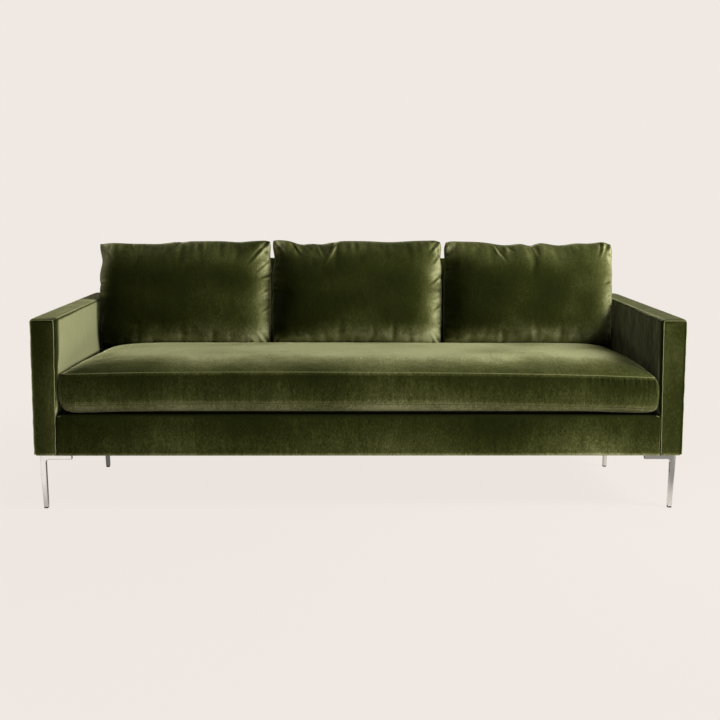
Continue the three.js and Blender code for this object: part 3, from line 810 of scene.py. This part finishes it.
# Each back cushion: its lowest and highest x and its top, then how much lighter its velvet is painted at the
# top and at the upper left, painted light, and in the band along the bottom, partly the pile's own brushing and
# partly painted light, with that band's start and end, and its seed
PILLOWS = {
    "left": ((-0.986, -0.3345, 0.8835), (0.85, 2.2, 1.5, -0.55, 1.5), 71),
    "centre": ((-0.3255, 0.3215, 0.8855), (0.72, 0.95, 1.6, -1.3, 1.5), 73),
    "right": ((0.334, 0.981, 0.8825), (0.98, 0.45, 1.9, -1.3, 0.7), 79),
}

# Where each cushion's edges are drawn in, along the top, the left and the right: place along the edge,
# from -1 to 1, depth and width
DRAWN_EDGES = {
    "left": (
        (
            (-1.03, 0.0115, 0.13), (-0.62, 0.0115, 0.4), (-0.3, 0.005, 0.16),
            (-0.03, 0.003, 0.05), (0.63, 0.0045, 0.14), (1.0, 0.0035, 0.03),
        ),
        ((0.68, 0.01, 0.17), (0.22, 0.0035, 0.06)),
        ((1.0, 0.0035, 0.05), (0.74, 0.0035, 0.12), (0.36, 0.002, 0.06), (-0.86, 0.003, 0.1)),
    ),
    "centre": (
        (
            (-1.0, 0.0025, 0.03), (-0.66, 0.015, 0.12), (-0.43, 0.0135, 0.13),
            (-0.26, 0.003, 0.05), (0.39, 0.0045, 0.2), (1.0, 0.006, 0.04),
        ),
        ((1.0, 0.0025, 0.05), (0.66, 0.009, 0.18), (0.02, 0.0025, 0.1)),
        ((1.0, 0.005, 0.06), (0.72, 0.005, 0.12), (0.34, 0.0035, 0.06), (-0.2, 0.0015, 0.06)),
    ),
    "right": (
        (
            (-1.0, 0.005, 0.04), (-0.28, 0.012, 0.2), (0.02, 0.0125, 0.08),
            (0.37, 0.0125, 0.18), (0.72, 0.006, 0.14), (1.0, 0.011, 0.06),
        ),
        ((1.0, 0.0055, 0.06), (0.55, 0.006, 0.2), (0.1, 0.002, 0.1)),
        ((1.0, 0.006, 0.08), (0.66, 0.003, 0.12), (0.28, 0.0025, 0.07)),
    ),
}

# The folds: across and upward, in shares of the half width and height, where each starts at the seam
# and where it has faded out, then its width and height in metres
FOLDS = {
    "left": (
        (0.99, 0.98, 0.72, 0.52, 0.007475, 0.0112), (1.0, 0.36, 0.84, 0.27, 0.007475, 0.008),
        (0.99, 0.62, 0.8, 0.36, 0.0069, 0.00448), (1.0, -0.97, 0.82, -0.6, 0.007475, 0.0112),
        (0.86, -1.0, 0.74, -0.72, 0.0069, -0.0056), (0.97, 0.1, 0.86, -0.02, 0.0069, 0.00352),
        (0.98, -0.22, 0.85, -0.34, 0.007475, 0.00416), (-0.03, 1.0, -0.17, 0.76, 0.007475, 0.0072),
        (-0.62, 1.0, -0.55, 0.8, 0.0069, 0.0048), (-1.0, 0.7, -0.86, 0.62, 0.0069, -0.0064),
        (-1.0, 0.24, -0.82, 0.2, 0.0069, -0.0064), (-0.99, 0.98, -0.8, 0.62, 0.007475, 0.0064),
        (-0.44, -1.0, -0.4, -0.84, 0.006325, 0.00288), (0.62, -1.0, 0.58, -0.86, 0.006325, -0.00352),
    ),
    "centre": (
        (-0.76, 1.0, -0.6, 0.74, 0.007475, 0.0088), (-0.26, 1.0, -0.4, 0.54, 0.007475, 0.012),
        (-0.46, 1.0, -0.36, 0.68, 0.0069, -0.0088), (-0.62, 1.0, -0.5, 0.8, 0.006325, -0.0056),
        (1.0, 0.34, 0.82, 0.16, 0.007475, 0.0088), (0.99, 0.72, 0.84, 0.5, 0.007475, 0.0056),
        (1.0, -0.2, 0.86, -0.3, 0.0069, 0.0048), (1.0, -0.97, 0.84, -0.62, 0.007475, 0.0104),
        (1.0, -0.55, 0.86, -0.46, 0.0069, 0.0056), (-1.0, -0.97, -0.88, -0.74, 0.0069, -0.008),
        (0.99, 0.98, 0.82, 0.7, 0.007475, 0.0088), (-0.99, 0.98, -0.86, 0.72, 0.007475, 0.0056),
        (-1.0, 0.2, -0.86, 0.1, 0.0069, -0.0048), (0.3, -1.0, 0.34, -0.84, 0.006325, 0.0024),
    ),
    "right": (
        (-0.42, 1.0, -0.26, 0.6, 0.007475, -0.0128), (-0.28, 1.0, -0.16, 0.82, 0.0069, -0.0072),
        (0.05, 1.0, 0.1, 0.7, 0.007475, -0.0056), (-0.62, 1.0, -0.52, 0.8, 0.0069, -0.004),
        (0.9, 1.0, 0.78, 0.66, 0.007475, 0.0112), (0.99, 0.98, 0.86, 0.74, 0.007475, 0.0064),
        (1.0, 0.28, 0.84, 0.2, 0.007475, 0.008), (1.0, 0.04, 0.86, -0.06, 0.0069, 0.004),
        (1.0, -1.0, 0.88, -0.66, 0.007475, 0.0088), (0.2, -1.0, 0.26, -0.8, 0.0069, 0.0048),
        (-0.42, -1.0, -0.39, -0.88, 0.006325, 0.004), (-1.0, 0.48, -0.88, 0.4, 0.0069, -0.0064),
        (-1.0, 0.16, -0.88, 0.1, 0.0069, -0.0048), (-0.97, -1.0, -0.86, -0.78, 0.0069, -0.0064),
    ),
}


def seat_rise(a, b):
    """The seat's crown as a share of its height: a dome that falls off late at the ends and sooner at
    the front and rear, with a round shoulder."""
    ends = np.where(a < 0, 11.0, 22.0)
    return ((1 - np.abs(a).clip(0, 1) ** ends) * (1 - np.abs(b).clip(0, 1) ** 3)) ** 0.6


def seam_sag(a):
    """How far the seat's seams sink towards its ends, a little more at the right."""
    return 0.005 * a + 0.006 * a**2 + 0.007 * a**4


def seat_box():
    """The seat cushion's corners, with its own width."""
    low, high = corners_of("seat_cushion")
    low[0], high[0] = SEAT_ENDS
    return low, high


def seat_surface(x, y):
    """Height of the seat's top."""
    low, high = seat_box()
    a = 2 * (x - low[0]) / (high[0] - low[0]) - 1
    b = 2 * (y - low[1]) / (high[1] - low[1]) - 1
    seam_height = SEAT_SEAMS[1] - seam_sag(a.clip(-1, 1))
    return seam_height + (high[2] - seam_height) * seat_rise(a, b)


def seat_cushion():
    """A boxed bench cushion: a plan with rounded corners, a border that swells between its two seams,
    a crowned top and an underside that rolls down to the deck by a quarter circle. The seams sag
    towards the ends. Returns the piece and its two seams' points in order."""
    low, high = seat_box()
    swell = np.array([SEAT_END_SWELL, SEAT_BORDER_SWELL])
    half = (high - low)[:2] / 2 - swell
    centre = (high + low)[:2] / 2
    a, b = (banded(-half[i], half[i], (150, 52)[i], SEAT_CORNER * BAND, 5) for i in range(2))
    points, quads = block_grid(a, b, np.linspace(-1, 1, 9))
    level = points[:, 2].copy()
    a_share, b_share = (points[:, :2] / half).T
    plan = rounded(points, np.append(-half, -1), np.append(half, 1), SEAT_CORNER, (0, 1))
    from_end, from_front = (half - np.abs(points[:, :2])).T
    inside = held_under(from_end, from_front, 0.006).clip(0)
    lower, upper = (height - seam_sag(a_share) for height in SEAT_SEAMS)
    z = lower + (upper - lower) * (level + 1) / 2
    z = np.where(level == 1, upper + (high[2] - upper) * seat_rise(a_share, b_share), z)
    z = np.where(level == -1, lower - (lower - low[2]) * arch(inside, SEAT_BELLY), z)
    plan[:, :2] *= 1 + swell * np.stack([1 - np.abs(level) ** 5, 1 - level**2], axis=1) / half
    plan[:, 0] *= 1 - np.where(a_share < 0, *SEAT_TOP_TUCKS) * level.clip(0) ** 4 / half[0]
    plan[:, :2] += centre
    plan[:, 2] = z
    x, y, z = plan.T
    top, border = level == 1, np.abs(level) < 1
    # Painted light on the top: lighter behind the front and end edges, a painted highlight, a little less to
    # the right, and darker towards the left end, painted shade.
    top_painted_light = 0.68 + (1.2 - 0.2 * eased(a_share, 0.3, 0.6)) * eased(inside, 0.0, 0.17)
    top_painted_light -= 0.65 * (1 - eased(a_share, -1.0, -0.75))
    turned = np.abs(b_share) < np.abs(a_share) ** 40
    puckers = eased(a_share, 0.70, 0.82) * eased(level, 0.1, 1.0)
    # The velvet's mark: random tone; on the top the painted light above; the border painted darker towards the
    # upper seam and lighter downwards, painted light from below; the border's left end painted lighter, a
    # painted highlight; and the underside painted lighter, painted light from below.
    marks = {
        "nap_and_painted_light": 0.18 * ripple(a_share * 3, b_share * 2, (2.5, 2), 67)
        + np.where(top, top_painted_light, -0.08 - 0.30 * level)
        + 1.1 * border * eased(-a_share, 0.985, 0.997)
        + 0.35 * (level == -1),
        "along": np.where(turned, y, x),
        "gather": np.where(border, 0.06 + 1.5 * puckers, 0.03),
        "brush": np.where(border, 0.05 + 0.13 * (1 - level), 0.10 + 0.15 * (level < 0)),
    }
    node = "seat_cushion"
    piece = new_piece("seat_cushion_velvet", plan, quads, VELVET, node, replaces=(node,), marks=marks)
    rings = []
    edge = np.maximum(np.abs(a_share), np.abs(b_share)) > 0.99999
    for seam_level in (-1, 1):
        ring = np.flatnonzero(edge & (level == seam_level))
        rings.append(ring[np.argsort(np.arctan2(y[ring] - centre[1], x[ring] - centre[0]))])
    return piece, rings


def drawn_in(along_edge, dips):
    """How far a back cushion's edge is drawn in from the line between its corners: a sum of bell
    curves, each with its place, depth and width."""
    return sum(depth * np.exp(-(((along_edge - place) / width) ** 2)) for place, depth, width in dips)


def gathered(place, from_edge, seed):
    """Small gathers that stand across a cushion's seam, in metres: an uneven wave along the edge that
    rises quickly behind the seam and fades out by the square of a bell curve."""
    still = np.zeros_like(place)
    wave = ripple(place, still, (130, 0), seed) * (0.6 + 0.4 * ripple(place, still, (16, 0), seed + 1))
    return 0.0018 * wave * eased(from_edge, 0.0, 0.010) * np.exp(-((from_edge / 0.036) ** 2))


def folded(u, v, folds):
    """Folds in a cushion's front, in metres: each is a ridge with a groove beside it, the slope of a
    bell curve, along a line from its first place to its second, where it has faded out."""
    height = np.zeros(len(u))
    for *ends, width, rise in folds:
        start, end = np.reshape(ends, (2, 2)) * PILLOW_SPAN
        length = np.hypot(*(end - start))
        ahead = (end - start) / length
        along_fold = ((u - start[0]) * ahead[0] + (v - start[1]) * ahead[1]) / length
        across = ((v - start[1]) * ahead[0] - (u - start[0]) * ahead[1]) / width
        fading = (1 - eased(along_fold, 0.25, 1.0)) * eased(along_fold, -0.25, 0.05)
        height += rise * fading * 1.6 * across * np.exp(-(across**2))
    return height


def pillow(place):
    """A knife-edge cushion that leans on the back. Its depth at each place is a dome across and upward,
    deeper behind its seam than in front; its top and its sides are drawn in where the velvet is
    gathered, and its sides swell between. Returns the piece and the outline's points."""
    (x_low, x_high, top), (painted_top_light, side_light, bottom_nap_and_painted_light, band_from, band_to), seed = PILLOWS[place]
    above, left, right = DRAWN_EDGES[place]
    half_width, half_height = (x_high - x_low) / 2, PILLOW_HEIGHT / 2
    a, c, side, quads, rim = twin_grid(np.linspace(-1, 1, 103), np.linspace(-1, 1, 67))
    dome = ((1 - np.abs(a) ** 2.4) * (1 - np.abs(c) ** 2.6)).clip(0) ** 0.56
    end = np.where(a < 0, drawn_in(c, left), drawn_in(c, right)) * np.abs(a) ** 3
    flat_x = a * half_width - np.sign(a) * end + 0.003 * a**3 * (1 - c**2)
    z = c * half_height - 0.003 * c * (1 - a**2) - drawn_in(a, above) * eased(c, -0.2, 1.0)
    y = dome * np.where(side < 0, -PILLOW_FRONT, PILLOW_REAR) * np.abs(side)
    level, lean = cos(PILLOW_LEAN), sin(PILLOW_LEAN)
    x = flat_x + (x_low + x_high) / 2
    centre_z = top - half_height * level
    points = np.stack([x, PILLOW_PLACE + y * level + z * lean, centre_z + z * level - y * lean], axis=1)
    from_side, from_end = (1 - np.abs(a)) * half_width, (1 - np.abs(c)) * half_height
    band = (1 - eased(c, -0.95, -0.40)) * (1 - eased(-c, 0.93, 1.0))
    band *= eased(a, band_from - 0.3, band_from + 0.3) * (1 - 0.8 * eased(a, band_to - 0.2, band_to + 0.2))
    gathers = gathered(c * half_height + 3.0, from_side, seed + 30) + gathered(flat_x, from_end, seed + 60)
    # The velvet's mark: random tone; the bottom band, partly the pile's brushing and partly painted light;
    # painted light at the top, on the right side, at the upper left and along the left edge; the gathers
    # painted lighter where they stand out, painted shading; an overall offset; and painted shade along the
    # bottom where the cushion meets the seat.
    marks = {
        "nap_and_painted_light": 0.14 * ripple(a * 2, c * 2, (2, 2), seed)
        + band * (bottom_nap_and_painted_light + 0.20 * ripple(a * 5, c, (4, 2), seed + 1))
        + painted_top_light * eased(c, 0.30, 0.95)
        + 0.55 * eased(a, 0.55, 0.95) * (1 - eased(c, 0.4, 0.8))
        + side_light * eased(c, -0.4, 0.3) * (1 - eased(a, -1.0, -0.72))
        + 0.25 * (1 - eased(a, -1.0, -0.75))
        + 180.0 * gathers
        - 0.28
        - 1.8 * eased(-c, 0.87, 0.94),
        "along": np.where(from_side < from_end, points[:, 2], x) + seed,
        "gather": 0.2 * (1 - eased(np.minimum(from_side, from_end), 0.0, 0.05)),
        "brush": 0.10 + 0.40 * band,
        "gathers": gathers,
        "across": a,
        "upward": c,
        "side": side,
    }
    name, node = f"back_cushion_velvet_{place}", f"back_cushion_{place}"
    return new_piece(name, points, quads, SOFT_VELVET, node, replaces=(node,), marks=marks), rim


def pressed(points, rim):
    """Keeps a back cushion's points in front of the sofa's back, above the seat and beside its
    neighbours, with soft edges where it is pressed flat."""
    x, y, z = points.T
    for hand in (-1, 1):
        x = hand * held_under(x * hand, (points[rim, 0] * hand).max() + 0.0005, 0.001)
    y = held_under(y, back_face(z) - CLEARANCE, 0.003)
    z = -held_under(-z, -(seat_surface(x, y) + CLEARANCE), 0.003)
    return np.stack([x, y, z], axis=1)


def mark_of(piece, label):
    """A piece's mark, as an array."""
    values = np.empty(len(piece.data.vertices), np.float32)
    piece.data.attributes[label].data.foreach_get("value", values)
    return values.astype(float)


def refined(piece):
    """Replaces a piece's mesh with its subdivided surface, so that finer forms can be put into it. Its
    first points stay in order."""
    subdivide(piece)
    finer = bpy.data.meshes.new_from_object(piece.evaluated_get(bpy.context.evaluated_depsgraph_get()))
    piece.modifiers.clear()
    piece.data = finer


def evened(values, pairs, held, rounds=4):
    """Values at points, each moved half way to the mean of its neighbours', some rounds over. Held
    points keep theirs."""
    counts = np.bincount(pairs.ravel(), minlength=len(values))[:, None]
    out = values.copy()
    for _ in range(rounds):
        sums = np.zeros_like(out)
        np.add.at(sums, pairs[:, 0], out[pairs[:, 1]])
        np.add.at(sums, pairs[:, 1], out[pairs[:, 0]])
        out = (out + sums / counts) / 2
        out[held] = values[held]
    return out


def fill(filled, frames=22):
    """Blows the cushions up together as cloth with sewn seams. Each is (piece, seam points, pressure,
    growth, cap): its velvet is cut larger than its form by the growth, its seams stay in place, and
    no point moves further than the cap."""
    starts = []
    for piece, pins, pressure, growth, cap in filled:
        starts.append(places(piece.data))
        held = piece.vertex_groups.new(name="seams")
        held.add(pins.tolist(), 1.0, "REPLACE")
        cloth = piece.modifiers.new("filling", "CLOTH")
        cloth.point_cache.frame_start, cloth.point_cache.frame_end = 1, frames
        settings = cloth.settings
        settings.quality = 6
        settings.mass = 0.3
        settings.tension_stiffness = settings.compression_stiffness = 15
        settings.shear_stiffness = 4
        settings.bending_stiffness = 0.6
        settings.air_damping = 2
        settings.vertex_group_mass = "seams"
        settings.shrink_min = -growth
        settings.use_pressure = True
        settings.uniform_pressure_force = pressure
        settings.effector_weights.gravity = 0
        cloth.collision_settings.use_collision = False
        cloth.collision_settings.use_self_collision = False
    for number in range(1, frames + 1):
        SCENE.frame_set(number)
    depsgraph = bpy.context.evaluated_depsgraph_get()
    blown = [places(piece.evaluated_get(depsgraph).data) for piece, *_ in filled]
    for (piece, pins, pressure, growth, cap), start, end in zip(filled, starts, blown):
        piece.modifiers.clear()
        piece.vertex_groups.clear()
        pairs = np.empty(len(piece.data.edges) * 2, int)
        piece.data.edges.foreach_get("vertices", pairs)
        move = evened(end - start, pairs.reshape(-1, 2), pins)
        length = np.linalg.norm(move, axis=1, keepdims=True)
        put(piece, start + move * (cap * np.tanh(length / cap) / np.maximum(length, 1e-9)))
    SCENE.frame_set(1)


def cushions():
    """The bench seat and the three back cushions, filled together, then the folds and the seams."""
    seat, seat_rings = seat_cushion()
    pillows = {place: pillow(place) for place in PILLOWS}
    knife_edged = [(piece, rim, 4.0, 0.05, 0.022) for piece, rim in pillows.values()]
    fill([(seat, np.concatenate(seat_rings), 1.0, 0.006, 0.004)] + knife_edged)
    for place, (piece, rim) in pillows.items():
        sharpen(piece, [rim])
        refined(piece)
        points = places(piece.data)
        a, c, side, gathers = (mark_of(piece, label) for label in ("across", "upward", "side", "gathers"))
        ridges = folded(a * PILLOW_SPAN[0], c * PILLOW_SPAN[1], FOLDS[place])
        points[:, 1] += (ridges + gathers) * side.clip(-1, 0)
        put(piece, pressed(points, rim))
        # The folds are painted lighter where they stand out and darker in their grooves: painted shading.
        nap_and_painted_light = mark_of(piece, "nap_and_painted_light") + 40.0 * ridges
        piece.data.attributes["nap_and_painted_light"].data.foreach_set("value", nap_and_painted_light.astype(np.float32))
        path = places(piece.data)[rim]
        outward, body = path - path.mean(axis=0), f"back_cushion_{place}"
        seam(piece.name + "_seam", path, outward, body, closed=True, material=EDGE_HIGHLIGHT_VELVET)
    sharpen(seat, seat_rings)
    subdivide(seat)
    rows = (
        ("lower_above", 0, 0.0030, 0.0010, EDGE_HIGHLIGHT_VELVET),
        ("lower_below", 0, -0.0032, 0.0010, EDGE_HIGHLIGHT_VELVET),
        ("upper", 1, 0.0, 0.0013, SEAM_HIGHLIGHT_VELVET),
    )
    for label, ring, rise, radius, material in rows:
        path = places(seat.data)[seat_rings[ring]]
        away = (path - path.mean(axis=0)) * np.array([1, 1, 0])
        outward = (away / np.array([SEAT_ENDS[1], 0.36, 1])) ** 5 + away * 1e-3
        path = path + np.array([0, 0, rise])
        seam(f"seat_seam_{label}", path, outward, "seat_cushion", radius, True, material)


# Legs

def leg(name, node, side):
    """A bent bar seen from the front: an outline with a flange along the top, a filleted inner corner
    and a foot that narrows, carried through the bar's depth, with its long edges rounded. Under its
    foot is the glide, a small rounded block."""
    low, high = corners_of(node)
    outer, inner_tip = (high[0], low[0]) if side > 0 else (-low[0], -high[0])
    foot, top = low[2], high[2]
    turn = np.linspace(0, pi / 2, 9)
    arc_x = outer - LEG_TOP_WIDTH - LEG_FILLET + LEG_FILLET * np.sin(turn)
    arc = np.stack([arc_x, top - LEG_FLANGE - LEG_FILLET + LEG_FILLET * np.cos(turn)], axis=1)
    upper = [[outer, top], [inner_tip, top], [inner_tip, top - LEG_FLANGE]]
    lower = [[outer - LEG_FLARE - LEG_FOOT_WIDTH, foot], [outer - LEG_FLARE, foot]]
    outline = np.concatenate([upper, arc, lower]) * np.array([side, 1])
    points = np.concatenate([np.insert(outline, 1, level, axis=1) for level in (low[1], high[1])])
    ring = np.arange(len(outline))
    after = np.roll(ring, -1)
    walls = np.stack([ring, after, after + len(outline), ring + len(outline)], axis=1)
    faces = [ring[::-1], ring + len(outline), *walls]
    if side < 0:
        faces = [face[::-1] for face in faces]
    piece = new_piece(name, points, faces, STEEL, "frame", (node,))
    rim = piece.modifiers.new("rounded edges", "BEVEL")
    rim.width = 0.0022
    rim.segments = 3
    rim.limit_method = "ANGLE"
    rim.angle_limit = radians(40)

    middle = np.array([side * (outer - LEG_FLARE - LEG_FOOT_WIDTH / 2), (low[1] + high[1]) / 2])
    reach = np.array([LEG_FOOT_WIDTH / 2 - 0.0005, (high[1] - low[1]) / 2 - 0.001])
    pad_low, pad_high = np.append(middle - reach, 0), np.append(middle + reach, foot + 0.0002)
    points, quads = rounded_block(pad_low, pad_high, (2, 2, 2), 0.0018, 3, band=0.0019)
    glide = node.replace("leg", "glide")
    new_piece(glide + "_pad", points, quads, RUBBER, "frame", (glide,))


def dress_nodes():
    """Gives every part that stays as it is its own finish."""
    finishes = {
        "timber": TIMBER,
        "spring_steel": SPRING_STEEL,
        "leg_steel": STEEL,
        "glide_rubber": RUBBER,
        "deck_cloth": DECK_CLOTH,
        "dust_cloth": DUST_CLOTH,
        "velvet": VELVET,
    }
    for part in frame["record"]["subparts"]:
        slots = frame["nodes"][part["node"]].data.materials
        slots.clear()
        slots.append(finishes[part["material_slot"]])


# Stage, light and camera

def floor():
    """A pale floor that shows the background's colour to the camera, all of it far off and most of it
    near the sofa, where the rest keeps a soft shadow. The polished legs reflect that colour in front
    of the sofa, more of it at the left, and the shadow under it."""
    mesh = bpy.data.meshes.new("floor")
    corners = [(-FLOOR_REACH, -FLOOR_REACH, 0), (FLOOR_REACH, -FLOOR_REACH, 0)]
    corners += [(FLOOR_REACH, FLOOR_REACH, 0), (-FLOOR_REACH, FLOOR_REACH, 0)]
    mesh.from_pydata(corners, [], [(0, 1, 2, 3)])
    material = bpy.data.materials.new("pale floor")
    material.use_nodes = True
    mesh.materials.append(material)
    tree = material.node_tree
    tree.nodes.clear()
    place = object_place(tree)
    axes = split(tree, place)
    path = tree.nodes.new("ShaderNodeLightPath").outputs
    from_camera, from_gloss = path["Is Camera Ray"], path["Is Glossy Ray"]
    far = tree.nodes.new("ShaderNodeVectorMath")
    far.operation = "LENGTH"
    feed(far, {0: place})
    share = spread(tree, far.outputs["Value"], 0.9, 2.6, 0.945, 1.0)
    in_front = spread(tree, axes["Y"], -0.75, -0.40, 1.0, 0.1)
    dimmed = times(tree, from_gloss, spread(tree, axes["X"], -0.6, 0.6, 1.3, 0.35))
    seen = calculate(tree, "MAXIMUM", from_camera, times(tree, from_gloss, in_front))
    lit = add_node(tree, "ShaderNodeBsdfDiffuse", {"Color": (*(0.7 * c for c in BACKGROUND), 1)})
    strength = calculate(tree, "ADD", from_camera, dimmed)
    plain = add_node(tree, "ShaderNodeEmission", {"Color": (*BACKGROUND, 1), "Strength": strength})
    inputs = {0: times(tree, share, seen), 1: lit.outputs[0], 2: plain.outputs[0]}
    mix = add_node(tree, "ShaderNodeMixShader", inputs)
    add_node(tree, "ShaderNodeOutputMaterial", {"Surface": mix.outputs[0]})
    placed("floor", mesh)


def studio():
    """The background's colour for the camera and for reflections, and a weaker light from it."""
    SCENE.world = bpy.data.worlds.new("studio")
    SCENE.world.use_nodes = True
    tree = SCENE.world.node_tree
    tree.nodes.clear()
    path = tree.nodes.new("ShaderNodeLightPath").outputs
    seen = calculate(tree, "MAXIMUM", path["Is Camera Ray"], path["Is Glossy Ray"])
    seen = calculate(tree, "MAXIMUM", seen, path["Is Transmission Ray"])
    inputs = {"Color": (*BACKGROUND, 1), "Strength": spread(tree, seen, 0.0, 1.0, 0.07, 1.0)}
    light = add_node(tree, "ShaderNodeBackground", inputs)
    add_node(tree, "ShaderNodeOutputWorld", {"Surface": light.outputs[0]})


def softbox(name, place, target, size, watts, reflected=True):
    """A rectangular area light at a place, turned to face a target."""
    data = bpy.data.lights.new(name, "AREA")
    data.shape = "RECTANGLE"
    data.size, data.size_y = size
    data.energy = watts
    data.color = LAMP_COLOUR
    lamp = placed(name, data)
    lamp.visible_camera = False
    lamp.visible_glossy = reflected
    lamp.location = place
    lamp.rotation_mode = "QUATERNION"
    lamp.rotation_quaternion = (Vector(target) - Vector(place)).to_track_quat("-Z", "Y")


def camera():
    """The photograph's camera, from its pitch, yaw and roll."""
    level = cos(CAMERA_PITCH)
    ahead = Vector((sin(CAMERA_YAW) * level, cos(CAMERA_YAW) * level, -sin(CAMERA_PITCH)))
    right = Vector((cos(CAMERA_YAW), -sin(CAMERA_YAW), 0))
    up = right.cross(ahead)
    leant_right = cos(CAMERA_ROLL) * right + sin(CAMERA_ROLL) * up
    leant_up = cos(CAMERA_ROLL) * up - sin(CAMERA_ROLL) * right
    data = bpy.data.cameras.new("camera")
    data.sensor_width = SENSOR_WIDTH
    data.lens = SENSOR_WIDTH * FOCAL_PIXELS / FRAME_PIXELS
    SCENE.camera = placed("camera", data)
    turn = Matrix((leant_right, leant_up, -ahead)).transposed()
    SCENE.camera.matrix_world = Matrix.Translation(CAMERA_PLACE) @ turn.to_4x4()


camera()
floor()
studio()
softbox("side softbox", (3.1, -1.6, 2.5), (0.0, 0.0, 0.5), (1.4, 1.8), 290)
softbox("overhead softbox", (0.4, 0.2, 3.0), (0.0, 0.1, 0.4), (3.4, 2.0), 20)
softbox("low front fill", (0.9, -2.8, 0.14), (0.1, -0.4, 0.30), (2.8, 0.2), 24, reflected=False)
softbox("low rear fill", (0.3, 3.2, 0.5), (0.0, 0.46, 0.45), (2.8, 0.5), 24, reflected=False)
softbox("low left fill", (-3.2, 0.2, 0.35), (-1.07, 0.0, 0.42), (1.6, 0.3), 13, reflected=False)
SCENE.view_settings.view_transform = "Standard"

dress_nodes()
for hand_name, hand_side in HANDS:
    arm(hand_name, hand_side)
    arm_seams(hand_name, hand_side)
    for end in ("front", "rear"):
        leg(f"{end}_leg_{hand_name}", f"leg_{end}_{hand_name}", hand_side)
front_rail()
back()
cushions()
